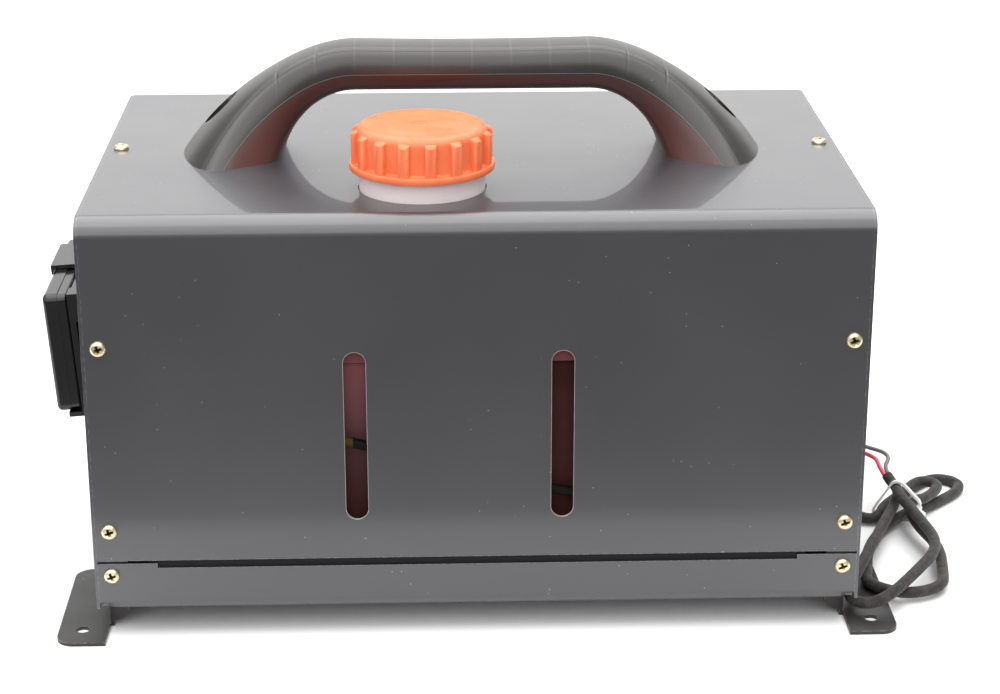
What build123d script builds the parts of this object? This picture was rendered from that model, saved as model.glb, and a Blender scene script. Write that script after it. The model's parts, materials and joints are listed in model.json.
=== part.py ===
from build123d import *
import math
import os

# A portable all-in-one diesel air heater: a folded sheet-metal box with a fuel tank over the
# burner, a moulded carry handle, a screwed filler cap, two mounting feet and a wall controller.
# Millimetres. X runs along the box, Y away from the viewer, Z up. The origin lies on the floor,
# at the centre of the four mounting holes.

os.makedirs("parts", exist_ok=True)

# ---- Housing ----
width = 380.0
depth = 253.0
foot_height = 14.0
body_height = 205.0
lower_height = 28.0
cover_sheet = 1.2
plate_sheet = 1.5
top_bend = 10.0
tray_bend = 7.0
seam_gap = 1.5
lip_recess_depth = 2.5
lip_corner = 30.0
lip_lap = 4.0
corner_relief = 4.5
flange_reach = 15.0
skin_gap = 0.4

# ---- Slots in the front ----
slot_width = 11.0
slot_length = 88.0
slot_height = 107.0
slot_left = -60.0
slot_right = 41.5

# ---- Screws that hold the sheets ----
screw_radius = 2.0
screw_length = 8.0
screw_head_radius = 4.0
screw_head_height = 2.4
hole_clearance = 0.25
screw_margin = 7.0
screw_heights = (154.5, 58.0, 34.0)
top_screw_shift = 1.5

# ---- Feet ----
foot_sheet = 2.0
ear_reach = 22.0
ear_length = 86.0
ear_overhang = 10.0
ear_corner = 9.0
strip_reach = 13.0
web_inset = 3.0
foot_flange = 10.0
foot_setback = 12.6
mount_hole_radius = 3.5
mount_hole_out = 10.0
mount_hole_front = 5.0
rivet_radius = 2.0
rivet_head_radius = 3.5
rivet_head = 1.2
rivet_rows = (-85.0, 0.0, 85.0)

# ---- Carry handle ----
handle_pivot = 60.0
grip_under = 33.0
grip_over = 57.0
grip_dip = 0.8
grip_half_width = 17.0
grip_side = 45.0
grip_shoulder = 55.8
grip_shoulder_half = 12.5
grip_under_half = 11.0
foot_inner_flare = 4.5
foot_outer_flare = 34.0
foot_side_flare = 21.0
foot_side_out = 13.4
foot_shoulder_flare = 34.0
foot_shoulder_out = 21.2
foot_under_flare = 14.5
handle_steps = 6
handle_screw_x = 130.0
handle_recess_radius = 8.5
handle_recess_floor = 6.0
handle_bolt_radius = 3.0
handle_bolt_head_radius = 5.0
handle_bolt_head = 6.0
handle_nut_half = 5.0
handle_nut_height = 5.0
bolt_tail = 2.0

# ---- Tank and filler ----
shield_sheet = 1.2
shield_top = 142.7
shield_skirt_bottom = 24.0
shield_half_length = 148.0
shield_depth_gap = 7.5
shield_bend = 3.0
tank_end_gap = 22.0
tank_side_gap = 14.5
tank_height = 63.0
tank_wall = 2.5
tank_corner = 14.0
filler_x = -26.0
filler_margin = 53.0
neck_radius = 27.5
neck_bore = 23.5
neck_height = 27.0
collar_radius = 31.25
collar_height = 9.7
cover_hole_gap = 0.6
cap_radius = 35.0
cap_wall_radius = 32.3
cap_lip_radius = 36.0
cap_lip_height = 3.6
cap_height = 22.0
cap_top_radius = 31.5
cap_thread_gap = 1.0
cap_rest_gap = 0.3
rib_count = 16
rib_turn = 7.3
rib_width = 5.5
gasket_height = 1.6
gasket_gap = 0.2

# ---- Heater unit ----
axis_height = 60.0
case_left = -140.0
case_right = 165.0
case_half_depth = 56.0
case_wall = 2.5
case_corner = 9.0
outlet_radius = 30.0
outlet_wall = 2.0
outlet_reach = 12.0
outlet_flange_radius = 34.0
outlet_flange = 2.5
inlet_radius = 36.0
inlet_wall = 2.5
inlet_flange_radius = 42.0
inlet_flange = 3.0
grille_bar = 2.0
guard_gap = 0.05
guard_depth = 3.0
grille_rings = 3
grille_spokes = 8
exchanger_left = -120.0
exchanger_right = 40.0
exchanger_radius = 32.0
exchanger_wall = 5.0
fin_count = 20
fin_height = 8.0
fin_width = 2.5
flange_plate = 6.0
burner_radius = 22.0
burner_wall = 2.0
burner_length = 92.0
burner_flange = 4.0
glow_x = 20.0
glow_radius = 5.0
blower_depth = 24.0
blower_radius = 40.0
blower_wall = 4.0
blower_cavity_radius = 33.0
motor_radius = 24.0
motor_length = 38.0
motor_gap = 0.2
motor_sleeve = 3.0
shaft_radius = 3.0
shaft_gap = 0.05
shaft_end = 150.0
fan_radius = 40.0
fan_start = 124.0
fan_depth = 22.0
fan_hub_radius = 14.0
fan_blades = 9
blade_thickness = 2.0
small_fan_radius = 30.0
small_fan_depth = 10.0
small_fan_blades = 16
pipe_radius = 12.0
pipe_wall = 2.0
pipe_step = 0.6
pipe_shoulder = 0.5
pipe_end = 3.0
pipe_flange = 3.0
pipe_flange_radius = 16.0
exhaust_x = -20.0
control_unit_size = (34.0, 56.0, 14.0)

# ---- Fuel line ----
fuel_margin = 38.5
pump_height = 50.0
pump_left = -50.0
pump_length = 52.0
pump_radius = 15.0
nipple_radius = 3.0
nipple_length = 10.0
hose_radius = 4.0
hose_bend = 18.0
fit_gap = 0.05
plunger_radius = 5.0
plunger_length = 22.0
plunger_travel = 2.0
pump_band = 18.0
pump_rubber = 4.0
filter_x = -100.0
filter_radius = 10.0
filter_length = 36.0
filter_top = 116.0
fuel_entry_x = 36.0

# ---- Wall controller ----
panel_stand = 27.5
panel_y = -1.5
panel_z = 124.0
panel_tilt = -4.0
panel_length = 100.0
panel_height = 64.0
panel_corner = 4.0
panel_edge = 2.4
panel_front_depth = 7.5
panel_back_depth = 5.0
panel_wall = 2.0
window_length = 58.0
window_height = 30.0
window_depth = 1.0
window_rise = 9.0
lens_gap = 0.15
button_radius = 4.5
button_gap = 0.3
button_rise = 1.2
button_drop = -19.0
button_pitch = 15.0
button_flange = 1.5
button_flange_depth = 1.0
button_names = ("power_button", "up_button", "set_button", "down_button", "mode_button")
board_sheet = 1.6
switch_height = 1.2
cradle_gap = 0.3
cradle_sheet = 3.0
hook_length = 38.0
hook_shift = 13.0
hook_sheet = 2.0
hook_lip = 4.0
arm_length = 11.0
arm_depth = 10.0
arm_hook = 2.5
pedestal_length = 62.0
pedestal_height = 40.0
cradle_screw_radius = 1.7
cradle_screw_length = 10.0

# ---- Leads ----
inner_cable_radius = 2.5
cable_levels = (122.0, 114.0, 102.5, 75.0, 58.0, 52.0, 46.0)
cable_bends = (18.0, 22.0, 24.0, 20.0)
cable_end_y = -48.0
cable_side_gap = 5.0
cable_slot_lead = 4.0
grommet_y = 48.0
grommet_z = 34.0
grommet_radius = 8.0
grommet_neck = 5.6
grommet_flange = 2.5
wire_radius = 1.2
wire_pitch = 2.7
lead_radius = 3.0
lead_gap = 0.1
lead_pitch = 6.95
lead_ramp = 16.0
hub_out = 43.0
hub_y = 1.0
waist_heading = -112.0
tie_band = 2.5
tie_sheet = 1.2
tie_gap = 0.8
plug_length = 20.0
plug_width = 15.0
plug_height = 10.0
plug_wall = 2.0
plug_depth = 8.0
plug_pin_radius = 1.2
lead_entry = [(-1.9, 14.0, 21.9), (0.1, 9.3, 19.4)]
lead_exit = [
    (-13.0, -5.0, 3.6),
    (-20.5, -1.5, 4.2),
    (-22.9, 8.0, 5.3),
    (-22.5, 19.0, 5.3),
    (-22.5, 29.0, 5.3),
]
black_route = [
    (23.0, 47.4, 31.2),
    (31.5, 44.8, 28.0),
    (38.0, 38.5, 28.2),
    (42.5, 31.5, 29.0),
    (44.1, 25.6, 27.9),
]
red_route = [(22.5, 46.8, 27.6), (31.9, 43.6, 24.4), (36.7, 36.0, 24.6), (37.5, 27.6, 26.2)]

# ---- Sizes worked out from those above ----
housing_bottom = foot_height
housing_top = foot_height + body_height
seam_height = foot_height + lower_height
half_width = width / 2
half_depth = depth / 2
plate_outer = half_width + plate_sheet
cover_inner_top = housing_top - cover_sheet
screw_column = half_width - screw_margin
tank_length = width - 2 * tank_end_gap
tank_depth = depth - 2 * tank_side_gap
filler_y = filler_margin - half_depth
fuel_y = half_depth - fuel_margin
panel_x = -plate_outer - panel_stand
hub_x = plate_outer + hub_out
tray_floor = housing_bottom + cover_sheet
case_half_height = axis_height - tray_floor
case_floor = tray_floor + case_wall
neck_top = housing_top + neck_height
collar_top = housing_top + collar_height
cap_bottom = collar_top + cap_rest_gap
cap_top = cap_bottom + cap_height
cap_inner_top = neck_top + gasket_height + 2 * gasket_gap
tank_bottom = shield_top
tank_top = tank_bottom + tank_height
cover_hole_radius = collar_radius + cover_hole_gap
shield_half_depth = half_depth - cover_sheet - shield_depth_gap
ear_inner = half_width - web_inset
strip_outer = half_width + strip_reach
ear_outer = half_width + ear_reach
foot_front = half_depth - foot_setback
ear_front = half_depth + ear_overhang
mount_hole_x = half_width + mount_hole_out
mount_hole_y = half_depth - mount_hole_front
exchanger_flange_end = exchanger_right + flange_plate
burner_end = exchanger_flange_end + burner_flange
blower_end = burner_end + blower_depth
motor_end = blower_end + motor_length


def save(name, *solids):
    """Writes one node, a single solid or a group of separate ones, and prints its volume."""
    shape = solids[0] if len(solids) == 1 else Compound(children=list(solids))
    shape.label = name
    export_step(shape, f"parts/{name}.step")
    print(f"{name}: {len(solids)} solids, {sum(solid.volume for solid in solids):.0f} mm3")


def block(x, y, z):
    """A box between pairs of limits."""
    size = [limits[1] - limits[0] for limits in (x, y, z)]
    return Pos(*[sum(limits) / 2 for limits in (x, y, z)]) * Box(*size)


def along_x(radius, start, end, y=0.0, z=0.0):
    """A round bar along X."""
    return Pos((start + end) / 2, y, z) * Rot(0, 90, 0) * Cylinder(radius, end - start)


def along_y(radius, start, end, x=0.0, z=0.0):
    """A round bar along Y."""
    return Pos(x, (start + end) / 2, z) * Rot(90, 0, 0) * Cylinder(radius, end - start)


def upright(radius, bottom, top, x=0.0, y=0.0):
    """A round bar along Z."""
    return Pos(x, y, (bottom + top) / 2) * Cylinder(radius, top - bottom)


def one(shape):
    """The single solid that a boolean operation has left."""
    solids = shape.solids()
    if len(solids) != 1:
        raise ValueError(f"expected one solid, found {len(solids)}")
    return solids[0]


def tube(points, radii, radius):
    """A round tube along straight runs joined by tangent arcs, with its length."""
    path = FilletPolyline(*points, radius=radii)
    section = Plane(path ^ 0) * Circle(radius)
    return one(sweep(section, path=path)), path


def soft_radii(points, share=0.45):
    """The largest arc that each corner of a lead's route leaves room for."""
    radii = []
    for before, here, after in zip(points, points[1:], points[2:]):
        first = Vector(*here) - Vector(*before)
        second = Vector(*after) - Vector(*here)
        turn = math.radians(first.get_angle(second))
        radii.append(share * min(first.length, second.length) / math.tan(turn / 2))
    return radii


def save_tube(name, points, radii, radius):
    """Writes a lead or hose, and prints its length, tightest arc and volume beside the ideal one."""
    solid, path = tube(points, radii, radius)
    save(name, solid)
    ideal = math.pi * radius ** 2 * path.length
    print(
        f"{name}: length {path.length:.1f} mm, smallest arc {min(radii):.1f} mm, "
        f"volume {solid.volume:.1f} of {ideal:.1f} mm3"
    )
    return path


# ---- Sheet-metal housing ----

def housing_face(inset, bottom):
    """The YZ outline of the box, set in all round, with its two rounded upper bends."""
    top = housing_top - inset
    face = Pos(0, (bottom + top) / 2) * Rectangle(depth - 2 * inset, top - bottom)
    return fillet(face.vertices().group_by(Axis.Y)[-1], top_bend - inset)


def screw_places():
    """Each sheet screw as the place of its seat and the turn that points its head outward."""
    places = []
    for side in (-1, 1):
        for height in screw_heights:
            places.append(Location((side * screw_column, -half_depth, height), (90, 0, 0)))
            places.append(Location((side * screw_column, half_depth, height), (-90, 0, 0)))
        places.append(Location((side * screw_column, top_screw_shift, housing_top)))
    return places


def screw_holes(shape):
    """Cuts the clearance hole of every sheet screw."""
    for place in screw_places():
        shape -= place * Cylinder(screw_radius + hole_clearance, 2 * screw_length)
    return shape


def sheet_screw():
    """A pan-head screw with its seat at the origin and its head upward."""
    head = Cylinder(screw_head_radius, screw_head_height, align=(Align.CENTER, Align.CENTER, Align.MIN))
    head = chamfer(head.edges().group_by(Axis.Z)[-1], screw_head_height * 0.45)
    shank = Cylinder(screw_radius, screw_length, align=(Align.CENTER, Align.CENTER, Align.MAX))
    return one(head + shank)


def upper_cover():
    """One folded sheet: front, top and back, with two slots and the filler hole."""
    outer = Plane.YZ * housing_face(0, seam_height)
    inner = Plane.YZ * housing_face(cover_sheet, seam_height - cover_sheet)
    shell = extrude(outer, half_width, both=True) - extrude(inner, width, both=True)
    slot_face = SlotOverall(slot_length, slot_width, rotation=90)
    slot = Rot(90, 0, 0) * extrude(slot_face, 4 * cover_sheet, both=True)
    for slot_x in (slot_left, slot_right):
        shell -= Pos(slot_x, -half_depth, slot_height) * slot
    shell -= upright(cover_hole_radius, cover_inner_top - 1, housing_top + 1, filler_x, filler_y)
    for side in (-1, 1):
        shell -= upright(
            handle_bolt_radius + hole_clearance, cover_inner_top - 1, housing_top + 1, side * handle_screw_x
        )
    return one(screw_holes(shell))


def tray_face(inset, top):
    """The YZ outline of the tray, set in all round, with its two lower bends."""
    bottom = housing_bottom + inset
    face = Pos(0, (bottom + top) / 2) * Rectangle(depth - 2 * inset, top - bottom)
    return fillet(face.vertices().group_by(Axis.Y)[0], tray_bend - inset)


def base_tray():
    """The bottom pan, with notched corners and a joggled lip that locates the cover."""
    lip_top = seam_height - seam_gap
    recess_top = lip_top - lip_recess_depth
    recess_half = half_width - lip_corner
    outer = Plane.YZ * tray_face(0, lip_top)
    inner = Plane.YZ * tray_face(cover_sheet, lip_top + cover_sheet)
    tray = extrude(outer, half_width, both=True) - extrude(inner, width, both=True)
    tray -= block((-recess_half, recess_half), (-depth, depth), (recess_top, seam_height))
    for side in (-1, 1):
        wall = sorted((side * half_depth, side * (half_depth - 2 * cover_sheet)))
        strip = sorted((side * (half_depth - cover_sheet), side * (half_depth - 2 * cover_sheet)))
        tray += block((-recess_half, recess_half), wall, (recess_top - cover_sheet, recess_top))
        lip = (recess_top - cover_sheet, seam_height + lip_recess_depth * 3)
        tray += block((-recess_half - lip_lap, recess_half + lip_lap), strip, lip)
        for end in (-1, 1):
            notch_x = sorted((end * (half_width - corner_relief), end * width))
            notch_y = sorted((side * (half_depth - tray_bend), side * depth))
            tray -= block(notch_x, notch_y, (0, housing_bottom + corner_relief))
        for row in rivet_rows:
            tray -= upright(rivet_radius + hole_clearance, 0, seam_height, side * rivet_x(), row)
    for pipe_x in (exhaust_x, air_pipe_x()):
        tray -= upright(pipe_radius + pipe_step + hole_clearance, 0, seam_height, pipe_x)
    return one(screw_holes(tray))


def end_plate(side):
    """A flat end with flanges folded inward under the cover and the tray, and a shelf tab."""
    face = Plane.YZ.offset(side * half_width) * housing_face(skin_gap, housing_bottom + plate_sheet)
    plate = extrude(face, side * plate_sheet)
    near = half_width - flange_reach
    reach = sorted((side * near, side * half_width))
    flange_outer = half_depth - cover_sheet
    for face_side in (-1, 1):
        fold = sorted((face_side * flange_outer, face_side * (flange_outer - plate_sheet)))
        plate += block(reach, fold, (tray_floor + tray_bend, housing_top - 2 * top_bend))
    top_half = half_depth - 2 * top_bend
    plate += block(reach, (-top_half, top_half), (cover_inner_top - plate_sheet, cover_inner_top))
    tab_top = shield_top - shield_sheet
    plate += block(reach, (-top_half, top_half), (tab_top - plate_sheet, tab_top))
    return screw_holes(plate)


def left_end_plate():
    """The outlet end, which also carries the wall controller."""
    plate = end_plate(-1)
    plate -= along_x(outlet_radius + hole_clearance, -plate_outer - 1, 0, 0, axis_height)
    plate -= along_x(inner_cable_radius + 1.0, -plate_outer - 1, -half_width + 1, cable_exit_y(), panel_z)
    for place in cradle_screw_places():
        plate -= place * Cylinder(cradle_screw_radius + hole_clearance, 4 * plate_sheet)
    return one(plate)


def right_end_plate():
    """The inlet end, with the hole for the supply lead."""
    plate = end_plate(1)
    plate -= along_x(inlet_radius + hole_clearance, half_width - 1, plate_outer + 1, 0, axis_height)
    plate -= along_x(grommet_neck + hole_clearance, half_width - 1, plate_outer + 1, grommet_y, grommet_z)
    return one(plate)


# ---- Feet ----

def rivet_x():
    """How far out the rivets stand, at the middle of the foot's upper flange."""
    return ear_inner - foot_sheet - (foot_flange - foot_sheet) / 2


def foot_bracket(side):
    """A folded bracket with an ear at each end, a floor strip, a web and an upper flange."""
    ear_back = ear_front - ear_length
    web_inner = ear_inner - foot_sheet
    ear = Pos((ear_inner + ear_outer) / 2, (ear_front + ear_back) / 2) * Rectangle(
        ear_outer - ear_inner, ear_length
    )
    ear = fillet(ear.vertices().group_by(Axis.X)[-1], ear_corner)
    ear -= Pos(mount_hole_x, mount_hole_y) * Circle(mount_hole_radius)
    strip = Pos((web_inner + strip_outer) / 2, 0) * Rectangle(strip_outer - web_inner, 2 * foot_front)
    floor = strip + ear + mirror(ear, Plane.XZ)
    bracket = extrude(floor, foot_sheet)
    web = (web_inner, ear_inner)
    bracket += block(web, (-foot_front, foot_front), (0, housing_bottom))
    flange = (ear_inner - foot_flange, ear_inner)
    bracket += block(flange, (-foot_front, foot_front), (housing_bottom - foot_sheet, housing_bottom))
    tab = Polyline(
        (ear_inner, foot_sheet),
        (ear_inner, housing_bottom),
        (ear_inner - foot_flange, housing_bottom),
        (ear_inner - foot_flange, housing_bottom / 2),
        (ear_inner - foot_flange * 0.8, housing_bottom / 2 - foot_sheet),
        close=True,
    )
    for end in (-1, 1):
        plane = Plane.XZ.offset(end * foot_front)
        bracket += extrude(plane * make_face(tab), -end * foot_sheet)
    for row in rivet_rows:
        bracket -= upright(rivet_radius + hole_clearance, foot_sheet * 2, housing_bottom + 1, rivet_x(), row)
    bracket = one(bracket)
    return bracket if side > 0 else mirror(bracket, Plane.YZ)


def foot_rivets():
    """Rivets through the foot flanges and the tray floor, with a head at each end."""
    flange_bottom = housing_bottom - foot_sheet
    rivets = []
    for side in (-1, 1):
        for row in rivet_rows:
            x = side * rivet_x()
            rivet = upright(rivet_radius, flange_bottom, tray_floor, x, row)
            rivet += upright(rivet_head_radius, flange_bottom - rivet_head, flange_bottom, x, row)
            rivet += upright(rivet_head_radius, tray_floor, tray_floor + rivet_head, x, row)
            rivets.append(one(rivet))
    return rivets


# ---- Carry handle ----

def handle_section(origin, outward, flare, rise=0.0):
    """One section of the handle: flat underside, two bulged sides and a crowned outer face."""
    under = grip_under + foot_inner_flare * flare
    under_half = grip_under_half + foot_under_flare * flare
    side = grip_side + foot_side_out * flare
    side_half = grip_half_width + foot_side_flare * flare
    shoulder = grip_shoulder + foot_shoulder_out * flare + rise
    shoulder_half = grip_shoulder_half + foot_shoulder_flare * flare
    over = grip_over + foot_outer_flare * flare + rise
    outline = Line((-under_half, under), (under_half, under))
    outline += ThreePointArc((under_half, under), (side_half, side), (shoulder_half, shoulder))
    outline += ThreePointArc((shoulder_half, shoulder), (0, over), (-shoulder_half, shoulder))
    outline += ThreePointArc((-shoulder_half, shoulder), (-side_half, side), (-under_half, under))
    normal = Vector(0, 1, 0).cross(outward)
    return Plane(origin=origin, x_dir=(0, 1, 0), z_dir=normal) * make_face(outline)


def carry_handle():
    """A loft that leaves one foot, bends over into the grip and comes down on the other foot."""
    sections = []
    for step in range(handle_steps + 1):
        angle = math.radians(90 * step / handle_steps)
        flare = (1 - step / handle_steps) ** 3
        outward = Vector(math.cos(angle), 0, math.sin(angle))
        sections.append(handle_section((handle_pivot, 0, housing_top), outward, flare))
    leg = loft(sections)
    middle = handle_section((0, 0, housing_top), Vector(0, 0, 1), 0.0, -grip_dip)
    grip = loft([sections[-1], middle], ruled=True)
    half = leg + grip
    handle = half + mirror(half, Plane.YZ)
    for side in (-1, 1):
        recess_floor = housing_top + handle_recess_floor
        handle -= upright(handle_recess_radius, recess_floor, housing_top + grip_over, side * handle_screw_x)
        handle -= upright(
            handle_bolt_radius + hole_clearance, housing_top - 1, recess_floor + 1, side * handle_screw_x
        )
    return one(handle)


def handle_bolts():
    """The two socket-head bolts down in the handle's recesses."""
    seat = housing_top + handle_recess_floor
    end = cover_inner_top - handle_nut_height - bolt_tail
    bolts = []
    for side in (-1, 1):
        x = side * handle_screw_x
        bolt = upright(handle_bolt_head_radius, seat, seat + handle_bolt_head, x)
        socket = Pos(x, 0, seat + handle_bolt_head) * extrude(RegularPolygon(2.9, 6), -handle_bolt_head / 2)
        bolts.append(one(bolt + upright(handle_bolt_radius, end, seat, x) - socket))
    return bolts


def handle_nuts():
    """The nuts that pull the handle down, under the top sheet."""
    nuts = []
    for side in (-1, 1):
        hexagon = RegularPolygon(handle_nut_half, 6, major_radius=False)
        profile = hexagon - Circle(handle_bolt_radius + fit_gap)
        place = Pos(side * handle_screw_x, 0, cover_inner_top - handle_nut_height)
        nuts.append(one(place * extrude(profile, handle_nut_height)))
    return nuts


# ---- Tank and filler ----

def heat_shield():
    """The folded shelf that carries the tank and hangs down in front of and behind the burner."""
    top = shield_top
    bottom = shield_skirt_bottom

    def outline(inset, low):
        half = shield_half_depth - inset
        face = Pos(0, (low + top - inset) / 2) * Rectangle(2 * half, top - inset - low)
        return fillet(face.vertices().group_by(Axis.Y)[-1], shield_bend - inset)

    shell = extrude(Plane.YZ * outline(0, bottom), shield_half_length, both=True)
    shell -= extrude(Plane.YZ * outline(shield_sheet, bottom - 1), width, both=True)
    rest_half = half_depth - 2 * top_bend
    for side in (-1, 1):
        reach = sorted((side * (shield_half_length - 1), side * (half_width - plate_sheet)))
        shell += block(reach, (-rest_half, rest_half), (top - shield_sheet, top))
    shell -= upright(nipple_radius + 1.0, top - 2 * shield_sheet, top + 1, filter_x, fuel_y)
    return one(shell)


def fuel_tank():
    """The moulded tank, hollow, with a threaded neck over a plain collar."""
    outer = block(
        (-tank_length / 2, tank_length / 2), (-tank_depth / 2, tank_depth / 2), (tank_bottom, tank_top)
    )
    inner = block(
        (-tank_length / 2 + tank_wall, tank_length / 2 - tank_wall),
        (-tank_depth / 2 + tank_wall, tank_depth / 2 - tank_wall),
        (tank_bottom + tank_wall, tank_top - tank_wall),
    )
    outer = fillet(outer.edges().filter_by(Axis.Z), tank_corner)
    inner = fillet(inner.edges().filter_by(Axis.Z), tank_corner - tank_wall)
    tank = outer + upright(collar_radius, tank_top - 1, collar_top, filler_x, filler_y)
    tank += upright(neck_radius, collar_top - 1, neck_top, filler_x, filler_y)
    tank -= inner
    tank -= upright(neck_bore, tank_top - tank_wall - 1, neck_top + 1, filler_x, filler_y)
    tank -= upright(nipple_radius + fit_gap, tank_bottom - 1, tank_bottom + tank_wall + 1, filter_x, fuel_y)
    return one(tank)


def filler_cap():
    """The ribbed screw cap: a lipped skirt, a ring of grip ribs and a crowned top."""
    profile = Polyline(
        (0, cap_top),
        (cap_top_radius - 3, cap_top - 0.6),
        (cap_top_radius, cap_top - 2.2),
        (cap_wall_radius, cap_bottom + cap_lip_height + 1),
        (cap_lip_radius - 1, cap_bottom + cap_lip_height),
        (cap_lip_radius, cap_bottom + cap_lip_height - 1.2),
        (cap_lip_radius, cap_bottom + 1.2),
        (cap_lip_radius - 1, cap_bottom),
        (neck_radius + cap_thread_gap, cap_bottom),
        (neck_radius + cap_thread_gap, cap_inner_top),
        (0, cap_inner_top),
        close=True,
    )
    cap = revolve(Plane.XZ * make_face(profile), Axis.Z)
    rib_bottom = cap_bottom + cap_lip_height
    rib = block(
        (cap_wall_radius - 3.3, cap_radius), (-rib_width / 2, rib_width / 2), (rib_bottom, cap_top - 0.8)
    )
    rib = fillet(rib.edges().group_by(Axis.X)[-1], 1.4)
    for index in range(rib_count):
        cap += Rot(0, 0, rib_turn + 360 * index / rib_count) * rib
    return Pos(filler_x, filler_y, 0) * one(cap)


def cap_gasket():
    """The rubber ring between the neck and the inside of the cap."""
    bottom = neck_top + gasket_gap
    outer = neck_radius + cap_thread_gap - gasket_gap
    ring = upright(outer, bottom, bottom + gasket_height, filler_x, filler_y)
    return one(ring - upright(neck_bore, bottom - 1, neck_top + 10, filler_x, filler_y))


# ---- Heater unit ----

def air_pipe_x():
    """The combustion-air pipe stands under the middle of the blower."""
    return (burner_end + blower_end) / 2


def case_solid(inset):
    """The rounded case of the heater unit, set in all round."""
    half_y = case_half_depth - inset
    half_z = case_half_height - inset
    body = block(
        (case_left + inset, case_right - inset),
        (-half_y, half_y),
        (axis_height - half_z, axis_height + half_z),
    )
    upper = body.edges().filter_by(Axis.X).group_by(Axis.Z)[-1]
    return fillet(upper, case_corner - inset)


def heater_case():
    """The plastic case, parted along the shaft, as an upper and a lower shell."""
    case = case_solid(0) - case_solid(case_wall)
    case -= along_x(outlet_radius + hole_clearance, case_left - 1, case_left + case_wall + 1, 0, axis_height)
    case -= along_x(
        inlet_radius - inlet_wall, case_right - case_wall - 1, case_right + 1, 0, axis_height
    )
    for pipe_x in (exhaust_x, air_pipe_x()):
        case -= upright(pipe_radius + pipe_step + hole_clearance, 0, axis_height / 2, pipe_x)
    limits_x = (case_left - 1, case_right + 1)
    limits_y = (-half_depth, half_depth)
    lower = one(case & block(limits_x, limits_y, (0, axis_height)))
    upper = one(case & block(limits_x, limits_y, (axis_height, housing_top)))
    return upper, lower


def heat_exchanger():
    """The finned aluminium casting: a closed tube with lengthwise fins and a square flange."""
    tube_body = along_x(exchanger_radius, exchanger_left, exchanger_right + 1, 0, axis_height)
    bore = exchanger_radius - exchanger_wall
    fin_end = exchanger_radius + fin_height
    fin = block(
        (exchanger_left, exchanger_right + 1),
        (-fin_width / 2, fin_width / 2),
        (exchanger_radius - 1, fin_end),
    )
    for index in range(fin_count):
        angle = 360 * (index + 0.5) / fin_count
        tube_body += Pos(0, 0, axis_height) * Rot(angle, 0, 0) * fin
    flange_half = case_half_depth - case_wall - 1
    flange = block(
        (exchanger_right, exchanger_flange_end),
        (-flange_half, flange_half),
        (case_floor, axis_height + fin_end),
    )
    tube_body += fillet(flange.edges().filter_by(Axis.X).group_by(Axis.Z)[-1], case_corner)
    tube_body -= along_x(bore, exchanger_left + exchanger_wall, exchanger_flange_end + 1, 0, axis_height)
    tube_body -= upright(glow_radius + hole_clearance, axis_height, axis_height + fin_end + 1, glow_x)
    tube_body -= upright(
        pipe_flange_radius + hole_clearance, 0, axis_height - exchanger_radius + 1, exhaust_x
    )
    return one(tube_body)


def burner_tube():
    """The burner: a thin tube inside the exchanger with a flange clamped at its open end."""
    start = exchanger_flange_end - burner_length
    body = along_x(burner_radius, start, burner_end, 0, axis_height)
    body += along_x(exchanger_radius, exchanger_flange_end, burner_end, 0, axis_height)
    body -= along_x(burner_radius - burner_wall, start - 1, burner_end - burner_flange / 2, 0, axis_height)
    body -= upright(glow_radius - 1 + hole_clearance, axis_height, housing_top, glow_x)
    for index in range(8):
        turn = Pos(start + 20, 0, axis_height) * Rot(45 * index + 22.5, 0, 0)
        body -= turn * Pos(0, 0, burner_radius) * Cylinder(3, 8)
    return one(body)


def glow_plug():
    """The glow plug, screwed down through the exchanger into the burner."""
    seat = axis_height + exchanger_radius + fin_height
    tip = axis_height + burner_radius - 6
    shank_end = axis_height + burner_radius + 1
    plug = upright(glow_radius, shank_end, seat, glow_x) + upright(glow_radius - 1, tip, seat, glow_x)
    hexagon = Pos(glow_x, 0, seat) * extrude(RegularPolygon(7, 6), 1.8)
    return one(plug + hexagon)


def blower_housing():
    """The combustion blower's casting, its motor sleeve and the pad for the control unit."""
    body = along_x(blower_radius, burner_end, blower_end, 0, axis_height)
    body += block(
        (burner_end, blower_end), (-blower_radius * 0.6, blower_radius * 0.6), (case_floor, axis_height)
    )
    sleeve_outer = motor_radius + motor_gap + motor_sleeve
    body += along_x(sleeve_outer, blower_end - 1, motor_end, 0, axis_height)
    pad_top = control_unit_floor()
    body += block((blower_end - 1, motor_end), (-motor_radius / 2, motor_radius / 2), (axis_height, pad_top))
    body -= along_x(
        blower_cavity_radius, burner_end + blower_wall, blower_end - blower_wall, 0, axis_height
    )
    body -= along_x(motor_radius + motor_gap, blower_end, motor_end + 1, 0, axis_height)
    body -= along_x(shaft_radius + 1, burner_end + blower_wall, blower_end + 1, 0, axis_height)
    body -= upright(
        pipe_flange_radius + hole_clearance, 0, case_floor + pipe_flange + hole_clearance, air_pipe_x()
    )
    body -= upright(pipe_radius - pipe_wall, 0, axis_height - shaft_radius - 5, air_pipe_x())
    return one(body)


def fan_motor():
    """The motor, bored for its shaft, with a bearing boss on its outer end."""
    body = along_x(motor_radius, blower_end, motor_end, 0, axis_height)
    body += along_x(shaft_radius + 5, motor_end - 1, motor_end + 4, 0, axis_height)
    return one(body - along_x(shaft_radius + shaft_gap, 0, case_right, 0, axis_height))


def motor_shaft():
    """The shaft through the motor, with a fan on each end."""
    return one(along_x(shaft_radius, burner_end + blower_wall + 1, shaft_end, 0, axis_height))


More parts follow.
